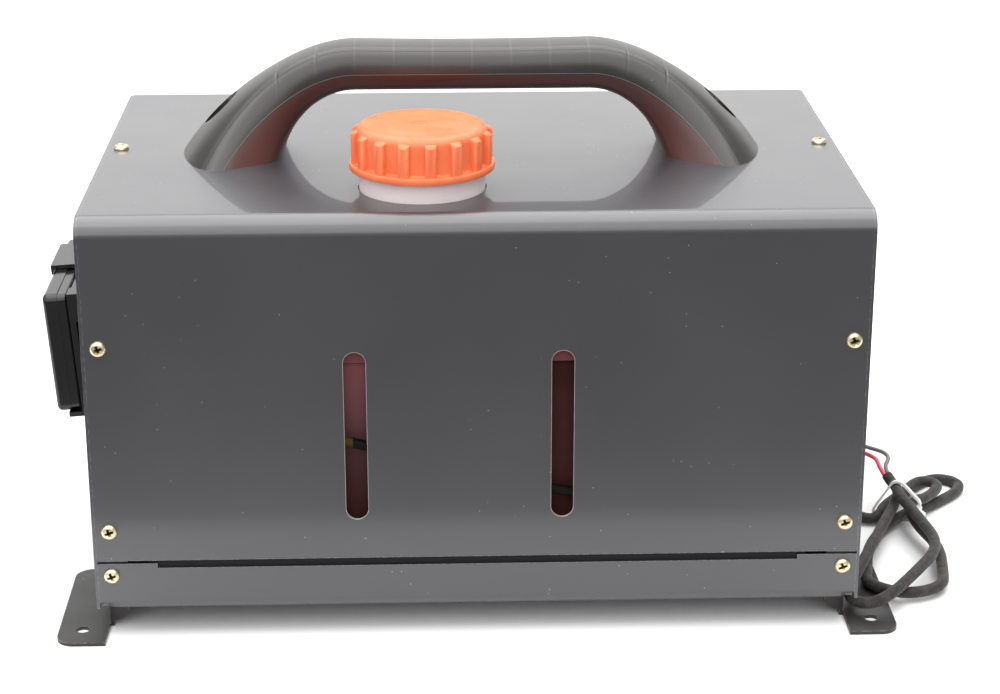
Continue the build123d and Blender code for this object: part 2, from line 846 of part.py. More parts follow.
def heating_fan():
    """The mixed-flow wheel that blows the warm air: a cone hub with twisted blades."""
    start = fan_start
    end = start + fan_depth
    hub_profile = Polyline(
        (shaft_radius + fit_gap, start),
        (fan_hub_radius + 6, start),
        (fan_hub_radius, start + fan_depth * 0.5),
        (shaft_radius + 4, end),
        (shaft_radius + fit_gap, end),
        close=True,
    )
    wheel = revolve(Plane.XZ * make_face(hub_profile), Axis.Z)
    section = Rectangle(fan_depth - 4, blade_thickness, align=(Align.MAX, Align.CENTER))
    near_face = Pos(fan_hub_radius - 4, 0, start + 2) * Rot(0, 90, 0) * Rot(0, 0, 25) * section
    far_face = Pos(fan_radius, 0, start + 2) * Rot(0, 90, 0) * Rot(0, 0, 40) * section
    for index in range(fan_blades):
        wheel += Rot(0, 0, 360 * index / fan_blades) * loft([near_face, far_face], ruled=True)
    wheel -= Cylinder(shaft_radius + fit_gap, 4 * shaft_end)
    return one(Pos(0, 0, axis_height) * Rot(0, 90, 0) * wheel)


def combustion_fan():
    """The radial wheel of the combustion blower: a back plate with straight vanes."""
    start = (burner_end + blower_end - small_fan_depth) / 2
    plate_end = start + 2
    end = start + small_fan_depth
    wheel = along_x(small_fan_radius, start, plate_end)
    wheel += along_x(shaft_radius + 4, start, end)
    vane = block(
        (plate_end - 0.5, end),
        (-blade_thickness / 2, blade_thickness / 2),
        (shaft_radius + 6, small_fan_radius - 1),
    )
    for index in range(small_fan_blades):
        wheel += Rot(360 * index / small_fan_blades, 0, 0) * vane
    wheel -= along_x(shaft_radius + fit_gap, 0, case_right)
    return one(Pos(0, 0, axis_height) * wheel)


def control_unit_floor():
    """The pad height that clears the motor sleeve."""
    return axis_height + motor_radius + motor_gap + motor_sleeve + 0.5


def control_unit():
    """The control unit on its pad above the motor, with a row of cooling ribs."""
    length, across, height = control_unit_size
    middle = (blower_end + motor_end) / 2
    floor = control_unit_floor()
    along = (middle - length / 2, middle + length / 2)
    box = block(along, (-across / 2, across / 2), (floor, floor + height - 2))
    for index in range(7):
        rib_y = -across / 2 + across * (index + 0.5) / 7
        box += block(
            (middle - length / 2, middle + length / 2), (rib_y - 1, rib_y + 1), (floor, floor + height)
        )
    return one(box)


def round_grille(radius, start, end):
    """Rings and spokes across a round opening on the shaft line."""
    grille = along_x(grille_bar * 2, start, end, 0, axis_height)
    for ring in range(1, grille_rings + 2):
        outer = radius * ring / (grille_rings + 1)
        hoop = along_x(outer, start, end, 0, axis_height)
        grille += hoop - along_x(outer - grille_bar, start - 1, end + 1, 0, axis_height)
    for index in range(grille_spokes):
        spoke = block((start, end), (-grille_bar / 2, grille_bar / 2), (0, radius - grille_bar / 2))
        grille += Pos(0, 0, axis_height) * Rot(360 * index / grille_spokes, 0, 0) * spoke
    return grille


def hot_air_outlet():
    """The outlet spigot from the case to outside the end plate, flanged against the sheet."""
    end = -plate_outer - outlet_reach
    start = case_left + case_wall
    spigot = along_x(outlet_radius, end, start, 0, axis_height)
    spigot += along_x(outlet_flange_radius, -plate_outer - outlet_flange, -plate_outer, 0, axis_height)
    return one(spigot - along_x(outlet_radius - outlet_wall, end - 1, start + 1, 0, axis_height))


def outlet_guard():
    """The finger guard pressed into the outlet spigot."""
    start = -plate_outer - 1
    return one(round_grille(outlet_radius - outlet_wall - guard_gap, start, start + guard_depth))


def air_inlet_duct():
    """The inlet duct from the case to the end plate, with a flange outside the sheet."""
    end = plate_outer + inlet_flange
    duct = along_x(inlet_radius, case_right, end, 0, axis_height)
    duct += along_x(inlet_flange_radius, plate_outer, end, 0, axis_height)
    return one(duct - along_x(inlet_radius - inlet_wall, case_right - 1, end + 1, 0, axis_height))


def air_inlet_guard():
    """The finger guard pressed into the mouth of the inlet duct."""
    end = plate_outer + inlet_flange
    return one(round_grille(inlet_radius - inlet_wall - guard_gap, end - guard_depth, end))


def floor_pipe(x):
    """A pipe stub under the tray, with a shoulder where it enters the tray and a flange on the case floor."""
    pipe = upright(pipe_radius, pipe_end, case_floor, x)
    pipe += upright(pipe_radius + pipe_step, housing_bottom - pipe_shoulder, case_floor, x)
    pipe += upright(pipe_flange_radius, case_floor, case_floor + pipe_flange, x)
    return one(pipe - upright(pipe_radius - pipe_wall, pipe_end - 1, case_floor + pipe_flange + 1, x))


# ---- Fuel line ----

def tank_outlet():
    """The outlet fitting: a head inside the tank and a stem down through its floor."""
    head_bottom = tank_bottom + tank_wall
    stem_end = filter_top + nipple_length + hose_radius * 2
    fitting = upright(nipple_radius * 2, head_bottom, head_bottom + 3, filter_x, fuel_y)
    fitting += upright(nipple_radius, stem_end, head_bottom + 1, filter_x, fuel_y)
    return one(fitting)


def tank_hose():
    """The short straight hose between the outlet's stem and the filter."""
    top = filter_top + nipple_length + hose_radius * 2
    return one(upright(hose_radius, filter_top + nipple_length, top, filter_x, fuel_y))


def fuel_filter():
    """The fuel filter: a bowl with a nipple at each end."""
    bottom = filter_top - filter_length
    body = upright(filter_radius, bottom, filter_top, filter_x, fuel_y)
    body = fillet(body.edges(), 3)
    body += upright(nipple_radius, bottom - nipple_length, filter_top + nipple_length, filter_x, fuel_y)
    return one(body)


def filter_hose():
    """The hose from the filter down and round to the pump."""
    start = filter_top - filter_length - nipple_length
    points = [
        (filter_x, fuel_y, start),
        (filter_x, fuel_y, pump_height),
        (pump_left - nipple_length, fuel_y, pump_height),
    ]
    return points, [min(hose_bend, start - pump_height - 1)]


def fuel_pump():
    """The dosing pump: a coil can, two end collars, a nipple at each end and a plunger bore."""
    right = pump_left + pump_length
    body = along_x(pump_radius, pump_left + 8, right - 8, fuel_y, pump_height)
    body += along_x(pump_radius * 0.65, pump_left, right, fuel_y, pump_height)
    body += along_x(nipple_radius, pump_left - nipple_length, right + nipple_length, fuel_y, pump_height)
    middle = (pump_left + right) / 2
    room = plunger_length / 2 + plunger_travel
    body -= along_x(plunger_radius + fit_gap, middle - room, middle + room, fuel_y, pump_height)
    return one(body)


def pump_plunger():
    """The plunger that strokes inside the pump."""
    middle = pump_left + pump_length / 2
    start = middle - plunger_length / 2 - plunger_travel + fit_gap
    return one(along_x(plunger_radius, start, start + plunger_length, fuel_y, pump_height))


def pump_mount():
    """The rubber band round the pump and the foot that stands on the tray."""
    middle = pump_left + pump_length / 2
    band = (middle - pump_band / 2, middle + pump_band / 2)
    outer = pump_radius + pump_rubber
    mount = along_x(outer, band[0], band[1], fuel_y, pump_height)
    mount += block(band, (fuel_y - outer * 0.7, fuel_y + outer * 0.7), (tray_floor, pump_height))
    return one(mount - along_x(pump_radius + fit_gap, band[0] - 1, band[1] + 1, fuel_y, pump_height))


def fuel_line():
    """The line from the pump round into the side of the case beside the burner."""
    points = [
        (pump_left + pump_length + nipple_length, fuel_y, pump_height),
        (fuel_entry_x, fuel_y, pump_height),
        (fuel_entry_x, case_half_depth, pump_height),
    ]
    return points, [hose_bend * 0.75]


# ---- Wall controller ----

panel = Location((panel_x, panel_y, panel_z), (0, panel_tilt, 0))


def panel_outline(inset=0.0):
    """The controller's rounded outline, set in all round."""
    corner = panel_corner - min(inset, 1.5)
    return RectangleRounded(panel_length - 2 * inset, panel_height - 2 * inset, corner)


def panel_slab(face, start, end):
    """A slab of the controller between two depths behind its front face."""
    plane = Plane(origin=(start, 0, 0), x_dir=(0, 1, 0), z_dir=(1, 0, 0))
    return extrude(plane * face, end - start)


def button_place(index):
    """Each button's place across the controller."""
    return (index - (len(button_names) - 1) / 2) * button_pitch


def controller_front():
    """The front shell, with the window's recess and the five button holes."""
    shell = panel_slab(panel_outline(), 0, panel_front_depth)
    shell = fillet(shell.edges().group_by(Axis.X)[0], panel_edge)
    shell -= panel_slab(panel_outline(panel_wall), panel_wall, panel_front_depth + 1)
    window = Pos(0, window_rise) * RectangleRounded(window_length, window_height, 2)
    shell -= panel_slab(window, -1, window_depth)
    for index in range(len(button_names)):
        hole = Pos(button_place(index), button_drop) * Circle(button_radius + button_gap)
        shell -= panel_slab(hole, -1, panel_wall + 1)
    return panel * one(shell)


def display_lens():
    """The clear window that lies flush in the front shell."""
    pane = Pos(0, window_rise) * RectangleRounded(
        window_length - 2 * lens_gap, window_height - 2 * lens_gap, 1.9
    )
    return panel * one(panel_slab(pane, 0.1, window_depth))


def controller_button(index):
    """A round button with a flange that keeps it behind the front wall."""
    place = Pos(button_place(index), button_drop)
    cap = panel_slab(place * Circle(button_radius), -button_rise, panel_wall + button_gap + 0.1)
    cap = fillet(cap.edges().group_by(Axis.X)[0], 0.6)
    start = panel_wall + button_gap
    flange = panel_slab(place * Circle(button_radius + button_flange), start, start + button_flange_depth)
    return panel * one(cap + flange)


def controller_board():
    """The circuit board that lies against the back shell, with a switch behind each button."""
    start = panel_front_depth - board_sheet
    board = panel_slab(panel_outline(panel_wall + 0.3), start, panel_front_depth)
    for index in range(len(button_names)):
        place = Pos(button_place(index), button_drop)
        board += panel_slab(place * Circle(3), start - switch_height, start + 0.1)
    return panel * one(board)


def controller_back():
    """The back shell, a little smaller round its edge than the front one."""
    shell = panel_slab(panel_outline(0.5), panel_front_depth, panel_front_depth + panel_back_depth)
    return panel * one(fillet(shell.edges().group_by(Axis.X)[-1], 1.2))


def cradle_screw_places():
    """The two screws that hold the cradle to the end plate."""
    return [
        Location((-half_width, panel_y + side * pedestal_length / 3, panel_z), (0, -90, 0))
        for side in (-1, 1)
    ]


def controller_cradle():
    """The wall holder: a back plate on a pedestal, a top hook, and four corner arms."""
    back = panel_front_depth + panel_back_depth + cradle_gap
    plate_end = back + cradle_sheet
    half_length = panel_length / 2
    half_height = panel_height / 2
    arm_end = plate_end + arm_depth - cradle_sheet
    plate = block((back, plate_end), (-half_length, half_length), (-half_height + 2, half_height - 2))
    hook = (hook_shift - hook_length / 2, hook_shift + hook_length / 2)
    hook_bottom = half_height + cradle_gap
    hook_top = hook_bottom + hook_sheet
    plate += block((-cradle_gap - 1, plate_end), hook, (hook_bottom, hook_top))
    plate += block((-cradle_gap - 1, -cradle_gap), hook, (hook_top - hook_lip - 1, hook_top))
    plate += block((back, plate_end), hook, (half_height - 3, hook_top))
    for side in (-1, 1):
        arm = sorted((side * half_length, side * (half_length - arm_length)))
        plate += block((back, arm_end), arm, (half_height - 15, half_height))
        low = -half_height - cradle_gap - arm_hook
        plate += block((back, arm_end), arm, (low, -half_height + 10))
        plate += block((back - 7, arm_end), arm, (low, -half_height - cradle_gap))
    pedestal = block(
        (plate_end - 1, 60),
        (-pedestal_length / 2, pedestal_length / 2),
        (-pedestal_height / 2, pedestal_height / 2),
    )
    cable_hole = Rot(0, 90, 0) * Cylinder(inner_cable_radius + 1.0, half_width)
    cradle = panel * (plate + pedestal)
    cradle &= block((-width, -plate_outer), (-depth, depth), (0, 2 * housing_top))
    cradle -= Pos(panel_x, cable_exit_y(), panel_z) * cable_hole
    for place in cradle_screw_places():
        cradle -= place * Cylinder(cradle_screw_radius - 0.2, 2 * cradle_screw_length)
    return one(cradle)


def cradle_screws():
    """The cradle's screws, put in from inside the end plate."""
    screws = []
    for place in cradle_screw_places():
        length = cradle_screw_length
        shank = Cylinder(cradle_screw_radius - 0.2, length, align=(Align.CENTER, Align.CENTER, Align.MIN))
        head = Cylinder(3, 1.8, align=(Align.CENTER, Align.CENTER, Align.MAX))
        screws.append(place * one(shank + head))
    return screws


# ---- Leads ----

def cable_exit_y():
    """Where the controller's cable comes through the end plate."""
    return panel_y


def controller_cable():
    """The inner cable from the controller, along behind the slots, to the heater's fan end."""
    bay = half_depth - cover_sheet - plate_sheet - inner_cable_radius - 0.2
    end_lane = half_width - plate_sheet - inner_cable_radius - cable_side_gap
    back_x = panel_x + panel_front_depth + panel_back_depth + 0.3
    start_bend, left_bend, right_bend, end_bend = cable_bends
    start_level, bay_level, left_level, right_level, turn_level, end_level, low_level = cable_levels
    points = [
        (back_x, cable_exit_y(), panel_z),
        (-end_lane, cable_exit_y(), panel_z),
        (-end_lane, -bay + start_bend, start_level),
        (-end_lane + left_bend, -bay, bay_level),
        (slot_left - cable_slot_lead, -bay, left_level),
        (slot_right, -bay, right_level),
        (end_lane - right_bend, -bay, turn_level),
        (end_lane, -bay + end_bend, end_level),
        (end_lane, cable_end_y, low_level),
        (case_right, cable_end_y, low_level),
    ]
    radii = [min(radius, 60.0) for radius in soft_radii(points)]
    radii[0] = min(radii[0], 9.0)
    radii[-1] = min(radii[-1], 8.0)
    return points, radii


def cable_grommet():
    """The rubber grommet in the right end plate, with a flange on each side of the sheet."""
    grommet = along_x(grommet_neck, half_width - 1, plate_outer + 1, grommet_y, grommet_z)
    grommet += along_x(grommet_radius, plate_outer, plate_outer + grommet_flange, grommet_y, grommet_z)
    grommet += along_x(grommet_radius, half_width - grommet_flange, half_width, grommet_y, grommet_z)
    return one(fillet(grommet.edges().group_by(Axis.X)[-1], 1.0))


def rest_height(x, layer):
    """The height of a strand's middle: on the floor or on the foot's ear, in a layer of the hank."""
    ramp = min(max((ear_outer + lead_ramp - x) / (lead_ramp - 2 * lead_radius), 0.0), 1.0)
    return lead_radius + lead_gap + foot_sheet * ramp + layer * lead_pitch


def waist_point(lane, along, layer):
    """A point of a strand in the tied waist, across and along the waist from its middle."""
    heading = math.radians(waist_heading)
    x = hub_x + math.cos(heading) * along - math.sin(heading) * lane
    y = hub_y + math.sin(heading) * along + math.cos(heading) * lane
    return (x, y, rest_height(x, layer) + tie_sheet + tie_gap)


def hank_loop(heading, reach, tip, leave, come, layers, dip=0.0, long=False):
    """One loop of the hank: out from the waist, round a tip of three corners, and back."""
    stations = ((0.22, 0.48), (0.48, 0.97)) if long else ((0.42, 0.95),)
    sign = math.copysign(1, leave)
    tangent = tip / math.sqrt(3)

    def side(bulge, tip_side):
        points = [(share * reach, size * bulge) for share, size in stations]
        if long:
            points.append((0.74 * reach, (bulge + tip_side) / 2))
        return points + [(reach - tip + tangent, tip_side)]

    flat = side(leave, sign * tip) + [(reach - tip + 2 * tangent, 0)] + side(come, -sign * tip)[::-1]
    turn = math.radians(heading)
    low, high = layers
    points = []
    for index, (along, across) in enumerate(flat, 1):
        x = hub_x + math.cos(turn) * along - math.sin(turn) * across
        y = hub_y + math.sin(turn) * along + math.cos(turn) * across
        share = min(1.0, 1.7 * index / (len(flat) + 1))
        layer = low + (high - low) * share - dip * (along / reach) ** 6
        points.append((x, y, rest_height(x, layer)))
    return points


def lead_route():
    """The sleeved lead: in at the top of the tie, four loops, and out along the floor to its plug."""
    points = [(hub_x + x, hub_y + y, z) for x, y, z in lead_entry]
    points += [waist_point(-0.5, -4.5, 2.12), waist_point(3.5, 7, 2.1)]
    points += hank_loop(-107.3, 122.5, 11, 32.5, -4.5, (2.15, 1.05), dip=0.85, long=True)
    points += [waist_point(1.0, 7.5, 1.0), waist_point(-0.3, -7, 1.0)]
    points += hank_loop(47.5, 39.5, 7.3, 5.0, -10.0, (1.1, 1.1))
    points += [waist_point(10.2, -6.5, 1.0), waist_point(9.8, 6, 1.0)]
    points += hank_loop(-97, 101.5, 20, 22, -17.5, (1.0, 0.0), long=True)
    points += [waist_point(2.6, 7.5, 0.0), waist_point(9.4, -7, 0.0)]
    points += hank_loop(49.5, 64.5, 11.5, -10, 13, (0.0, 0.0))
    points += [waist_point(-7.0, -7, 0.0), waist_point(-6.6, 5, 0.0)]
    return points + [(hub_x + x, hub_y + y, z) for x, y, z in lead_exit]


def least_gap(path, radius, skip=14.0, step=1.0):
    """The least gap of a tube to itself, measured between points of its middle line."""
    count = int(path.length / step)
    spots = [path @ (index / count) for index in range(count + 1)]
    apart = int(skip / step)
    gaps = [
        (spots[second] - spots[first]).length
        for first in range(len(spots))
        for second in range(first + apart, len(spots))
    ]
    return min(gaps) - 2 * radius


def lead_start():
    """The sleeve's first point, its direction, and the step from one wire to the other."""
    first, second = [Vector(*point) for point in lead_route()[:2]]
    direction = (second - first).normalized()
    return first, direction, direction.cross(Vector(0, 0, 1)).normalized() * (wire_pitch / 2)


def supply_wire(side, route):
    """A bare-ended wire from the grommet, along its own bends, square into the sleeve."""
    first, direction, step = lead_start()
    start_x = plate_outer + grommet_flange
    start_z = grommet_z + side * wire_pitch / 2
    last = first - step * side
    points = [(start_x, grommet_y, start_z), (start_x + 9, grommet_y, start_z)]
    points += [(plate_outer + x, y, z) for x, y, z in route]
    points += [tuple(last - direction * 6), tuple(last)]
    return points


def cable_tie():
    """The white band drawn round the five strands of the waist."""
    low = lead_radius + lead_gap + tie_sheet + tie_gap
    centres = [(-6.9, low), (6.6, low), (10.1, low + lead_pitch), (1.6, low + 2.15 * lead_pitch)]
    core = make_face(Polyline(*centres, close=True))
    inner = offset(core, lead_radius + tie_gap)
    outer = offset(core, lead_radius + tie_gap + tie_sheet)
    heading = math.radians(waist_heading)
    along = Vector(math.cos(heading), math.sin(heading), 0)
    across = Vector(-math.sin(heading), math.cos(heading), 0)
    plane = Plane(origin=(hub_x, hub_y, 0), x_dir=across, z_dir=across.cross(Vector(0, 0, 1)))
    band = extrude(plane * (outer - inner), tie_band / 2, both=True)
    return one(band)


def power_plug():
    """The two-pin plug on the lead's end, lying on the floor with its mouth away from the lead."""
    x, y, z = lead_route()[-1]
    end = y + plug_length
    wide = (x - plug_width / 2, x + plug_width / 2)
    body = block(wide, (y, end), (z - plug_height / 2, z + plug_height / 2))
    body = fillet(body.edges().filter_by(Axis.Y), plug_wall * 0.75)
    body -= block(
        (x - plug_width / 2 + plug_wall, x + plug_width / 2 - plug_wall),
        (end - plug_depth, end + 1),
        (z - plug_height / 2 + plug_wall, z + plug_height / 2 - plug_wall),
    )
    for side in (-1, 1):
        body += along_y(plug_pin_radius, end - plug_depth - 1, end - 1, x + side * plug_width / 5, z)
    return one(body)


# ---- Nodes ----

save("upper_cover", upper_cover())
save("base_tray", base_tray())
save("left_end_plate", left_end_plate())
save("right_end_plate", right_end_plate())
save("left_foot", foot_bracket(-1))
save("right_foot", foot_bracket(1))
save("foot_rivets", *foot_rivets())
save("cover_screws", *[place * sheet_screw() for place in screw_places()])
save("carry_handle", carry_handle())
save("handle_bolts", *handle_bolts())
save("handle_nuts", *handle_nuts())
save("heat_shield", heat_shield())
save("fuel_tank", fuel_tank())
save("filler_cap", filler_cap())
save("cap_gasket", cap_gasket())
upper_shell, lower_shell = heater_case()
save("heater_upper_shell", upper_shell)
save("heater_lower_shell", lower_shell)
save("heat_exchanger", heat_exchanger())
save("burner_tube", burner_tube())
save("glow_plug", glow_plug())
save("blower_housing", blower_housing())
save("fan_motor", fan_motor())
save("motor_shaft", motor_shaft())
save("heating_fan", heating_fan())
save("combustion_fan", combustion_fan())
save("control_unit", control_unit())
save("hot_air_outlet", hot_air_outlet())
save("outlet_guard", outlet_guard())
save("air_inlet_duct", air_inlet_duct())
save("air_inlet_guard", air_inlet_guard())
save("exhaust_pipe", floor_pipe(exhaust_x))
save("combustion_air_pipe", floor_pipe(air_pipe_x()))
save("tank_outlet", tank_outlet())
save("tank_hose", tank_hose())
save("fuel_filter", fuel_filter())
save_tube("filter_hose", *filter_hose(), hose_radius)
save("fuel_pump", fuel_pump())
save("pump_plunger", pump_plunger())
save("pump_mount", pump_mount())
save_tube("fuel_line", *fuel_line(), hose_radius * 0.75)
save("controller_front", controller_front())
save("display_lens", display_lens())
for order, button_name in enumerate(button_names):
    save(button_name, controller_button(order))
save("controller_board", controller_board())
save("controller_back", controller_back())
save("controller_cradle", controller_cradle())
save("cradle_screws", *cradle_screws())
save_tube("controller_cable", *controller_cable(), inner_cable_radius)
save("cable_grommet", cable_grommet())
for wire_name, side, route in (("black_wire", 1, black_route), ("red_wire", -1, red_route)):
    wire_points = supply_wire(side, route)
    save_tube(wire_name, wire_points, soft_radii(wire_points), wire_radius)
lead_path = save_tube("power_lead", lead_route(), soft_radii(lead_route()), lead_radius)
print("power_lead least gap to itself:", round(least_gap(lead_path, lead_radius), 2), "mm")
save("cable_tie", cable_tie())
save("power_plug", power_plug())
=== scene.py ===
import json
import math

import bmesh
import bpy
from mathutils import Matrix, Vector

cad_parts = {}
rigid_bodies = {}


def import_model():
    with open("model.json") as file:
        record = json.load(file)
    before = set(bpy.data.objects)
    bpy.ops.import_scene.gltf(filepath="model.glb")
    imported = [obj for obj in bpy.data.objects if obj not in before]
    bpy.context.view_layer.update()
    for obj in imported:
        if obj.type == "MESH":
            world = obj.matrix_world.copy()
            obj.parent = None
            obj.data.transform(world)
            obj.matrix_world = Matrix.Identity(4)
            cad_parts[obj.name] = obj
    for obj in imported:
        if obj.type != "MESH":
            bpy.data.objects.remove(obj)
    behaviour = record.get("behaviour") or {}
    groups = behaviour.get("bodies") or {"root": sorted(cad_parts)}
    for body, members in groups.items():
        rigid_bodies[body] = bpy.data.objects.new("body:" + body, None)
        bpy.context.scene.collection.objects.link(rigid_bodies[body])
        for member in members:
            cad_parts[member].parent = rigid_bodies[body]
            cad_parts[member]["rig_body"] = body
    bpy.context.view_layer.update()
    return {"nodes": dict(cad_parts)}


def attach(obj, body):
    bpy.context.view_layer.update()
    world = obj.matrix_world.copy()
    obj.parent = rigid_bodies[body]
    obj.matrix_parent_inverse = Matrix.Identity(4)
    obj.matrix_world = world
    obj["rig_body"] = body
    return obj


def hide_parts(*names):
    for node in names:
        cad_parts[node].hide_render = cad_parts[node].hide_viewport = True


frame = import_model()
nodes = frame["nodes"]

# ---- Studio ----
# A plain pale floor, one large soft lamp above, one behind that the lid mirrors, and a camera with a long
# lens a little above the heater. In reflections alone the floor turns dark in front of the heater, as the
# photographed room does.
focal_length = 85.49
sensor_width = 36.0
camera_place = (-0.02366, -1.20537, 0.54734)
camera_turn = (69.936, 0.036, -1.837)
floor_half = 6.0
world_light = 0.5
floor_pale = 0.94
floor_dark = 0.18
dark_from = -0.285
pale_from = -0.245


def new_object(name, data):
    """An object of its own at the origin."""
    thing = bpy.data.objects.new(name, data)
    bpy.context.scene.collection.objects.link(thing)
    return thing


camera_data = bpy.data.cameras.new("camera")
camera_data.lens = focal_length
camera_data.sensor_width = sensor_width
camera_data.clip_start = 0.01
camera = new_object("camera", camera_data)
camera.location = camera_place
camera.rotation_euler = [math.radians(angle) for angle in camera_turn]
bpy.context.scene.camera = camera
bpy.context.scene.view_settings.view_transform = "Standard"


def new_material(name, color, roughness, **sockets):
    """A Principled material whose plain values are set; gives the material, its tree and its shader."""
    material = bpy.data.materials.new(name)
    material.use_nodes = True
    tree = material.node_tree
    shader = tree.nodes["Principled BSDF"]
    shader.inputs["Base Color"].default_value = (*color, 1)
    shader.inputs["Roughness"].default_value = roughness
    for socket, value in sockets.items():
        shader.inputs[socket.replace("_", " ").title().replace("Ior", "IOR")].default_value = value
    return material, tree, shader


def feed(tree, value, socket):
    """Links another socket to a socket, or fills in a plain value."""
    if isinstance(value, bpy.types.NodeSocket):
        tree.links.new(value, socket)
    else:
        socket.default_value = value


def add_node(tree, kind, **values):
    """A node with some of its settings and inputs filled in; an input takes a plain value or a socket."""
    node = tree.nodes.new(kind)
    for name, value in values.items():
        if hasattr(node, name):
            setattr(node, name, value)
        else:
            feed(tree, value, node.inputs[name.replace("_", " ").title()])
    return node


def reckon(tree, operation, *values, clamp=False):
    """The result of a Math node on sockets and plain numbers."""
    node = add_node(tree, "ShaderNodeMath", operation=operation, use_clamp=clamp)
    for value, socket in zip(values, node.inputs):
        feed(tree, value, socket)
    return node.outputs[0]


def object_place(tree):
    """Object coordinates."""
    return add_node(tree, "ShaderNodeTexCoord").outputs["Object"]


def object_axes(tree):
    """Object coordinates as X, Y and Z."""
    return add_node(tree, "ShaderNodeSeparateXYZ", vector=object_place(tree)).outputs


def fade(tree, value, start, end, smooth=False, low=0.0, high=1.0):
    """Runs from low at one value to high at another, and stays there beyond."""
    node = add_node(tree, "ShaderNodeMapRange", interpolation_type="SMOOTHSTEP" if smooth else "LINEAR")
    for socket, setting in zip(node.inputs, (value, start, end, low, high)):
        feed(tree, setting, socket)
    return node.outputs["Result"]


def link_piece(name, mesh, material):
    """An object at the origin from a finished mesh or curve, in its material."""
    mesh.materials.append(material)
    return new_object(name, mesh)


def soft_lamp(name, place, aim, size, watts):
    """A rectangular area lamp that faces a point and doesn't show itself to the camera."""
    light = bpy.data.lights.new(name, "AREA")
    light.shape = "RECTANGLE"
    light.size, light.size_y = size
    light.energy = watts
    lamp = new_object(name, light)
    lamp.location = place
    lamp.rotation_euler = (Vector(aim) - Vector(place)).to_track_quat("-Z", "Y").to_euler()
    lamp.visible_camera = False


floor_paint, tree, shader = new_material("studio_floor", (floor_pale,) * 3, 0.9)
shade = fade(tree, object_axes(tree)["Y"], dark_from, pale_from, True, floor_dark, floor_pale)
seen = add_node(tree, "ShaderNodeLightPath").outputs["Is Camera Ray"]
tone = reckon(tree, "MAXIMUM", shade, reckon(tree, "MULTIPLY", seen, floor_pale))
tree.links.new(tone, shader.inputs["Base Color"])
floor_mesh = bpy.data.meshes.new("studio_floor")
floor_corners = [(x * floor_half, y * floor_half, 0) for x, y in ((-1, -1), (1, -1), (1, 1), (-1, 1))]
floor_mesh.from_pydata(floor_corners, [], [(0, 1, 2, 3)])
link_piece("studio_floor", floor_mesh, floor_paint)

world = bpy.data.worlds.new("studio_world")
world.use_nodes = True
background = world.node_tree.nodes["Background"].inputs
background["Color"].default_value = (1, 1, 1, 1)
background["Strength"].default_value = world_light
bpy.context.scene.world = world

soft_lamp("top_lamp", (0, 0.2, 1.7), (0, 0.15, 0.0), (2.4, 2.4), 60)
soft_lamp("back_wall_lamp", (0, 2.4, 1.1), (0, 0, 0.2), (4.0, 2.0), 25)
soft_lamp("front_lamp", (-0.2, -1.9, 1.5), (0, 0, 0.1), (3.0, 2.0), 33)
soft_lamp("left_lamp", (-1.7, -0.4, 1.0), (0, 0, 0.1), (0.9, 1.4), 5)


# ---- Supply lead ----
# A red and a black wire leave the end plate and run into a black cloth-taped sleeve. The sleeve is
# folded into four loops, a white cable tie holds its waist, and it ends in a small two-pin plug.
lead_radius = 0.003
lead_gap = 0.0001
lead_pitch = 0.00695
lead_ramp = 0.016
ear_outer = 0.212
foot_sheet = 0.002
tie_sheet = 0.0012
tie_gap = 0.0008
hub = (0.2345, 0.001)
waist_heading = math.radians(-112)
layer_haste = 1.7
dip_power = 6


def rest_height(x, layer):
    """The height of a strand's middle: on the floor or on the foot's ear, in a layer of the hank."""
    ramp = min(max((ear_outer + lead_ramp - x) / (lead_ramp - 2 * lead_radius), 0.0), 1.0)
    return lead_radius + lead_gap + foot_sheet * ramp + layer * lead_pitch


def from_hub(heading, along, across):
    """X and Y of a point along a heading from the hank's middle, and across it."""
    x = hub[0] + math.cos(heading) * along - math.sin(heading) * across
    return x, hub[1] + math.sin(heading) * along + math.cos(heading) * across


def waist_point(lane, along, layer):
    """A point of a strand in the tied waist, across and along the waist from its middle."""
    x, y = from_hub(waist_heading, along, lane)
    return (x, y, rest_height(x, layer) + tie_sheet + tie_gap)


def hank_loop(heading, reach, tip, leave, come, layers, dip=0.0, long=False):
    """One loop of the hank: out from the waist, round a tip of three corners, and back."""
    stations = ((0.22, 0.48), (0.48, 0.97)) if long else ((0.42, 0.95),)
    sign = math.copysign(1, leave)
    tangent = tip / math.sqrt(3)

    def side(bulge, tip_side):
        points = [(share * reach, size * bulge) for share, size in stations]
        if long:
            points.append((0.74 * reach, (bulge + tip_side) / 2))
        return points + [(reach - tip + tangent, tip_side)]

    flat = side(leave, sign * tip) + [(reach - tip + 2 * tangent, 0)] + side(come, -sign * tip)[::-1]
    low, high = layers
    points = []
    for index, (along, across) in enumerate(flat, 1):
        x, y = from_hub(math.radians(heading), along, across)
        share = min(1.0, layer_haste * index / (len(flat) + 1))
        layer = low + (high - low) * share - dip * (along / reach) ** dip_power
        points.append((x, y, rest_height(x, layer)))
    return points


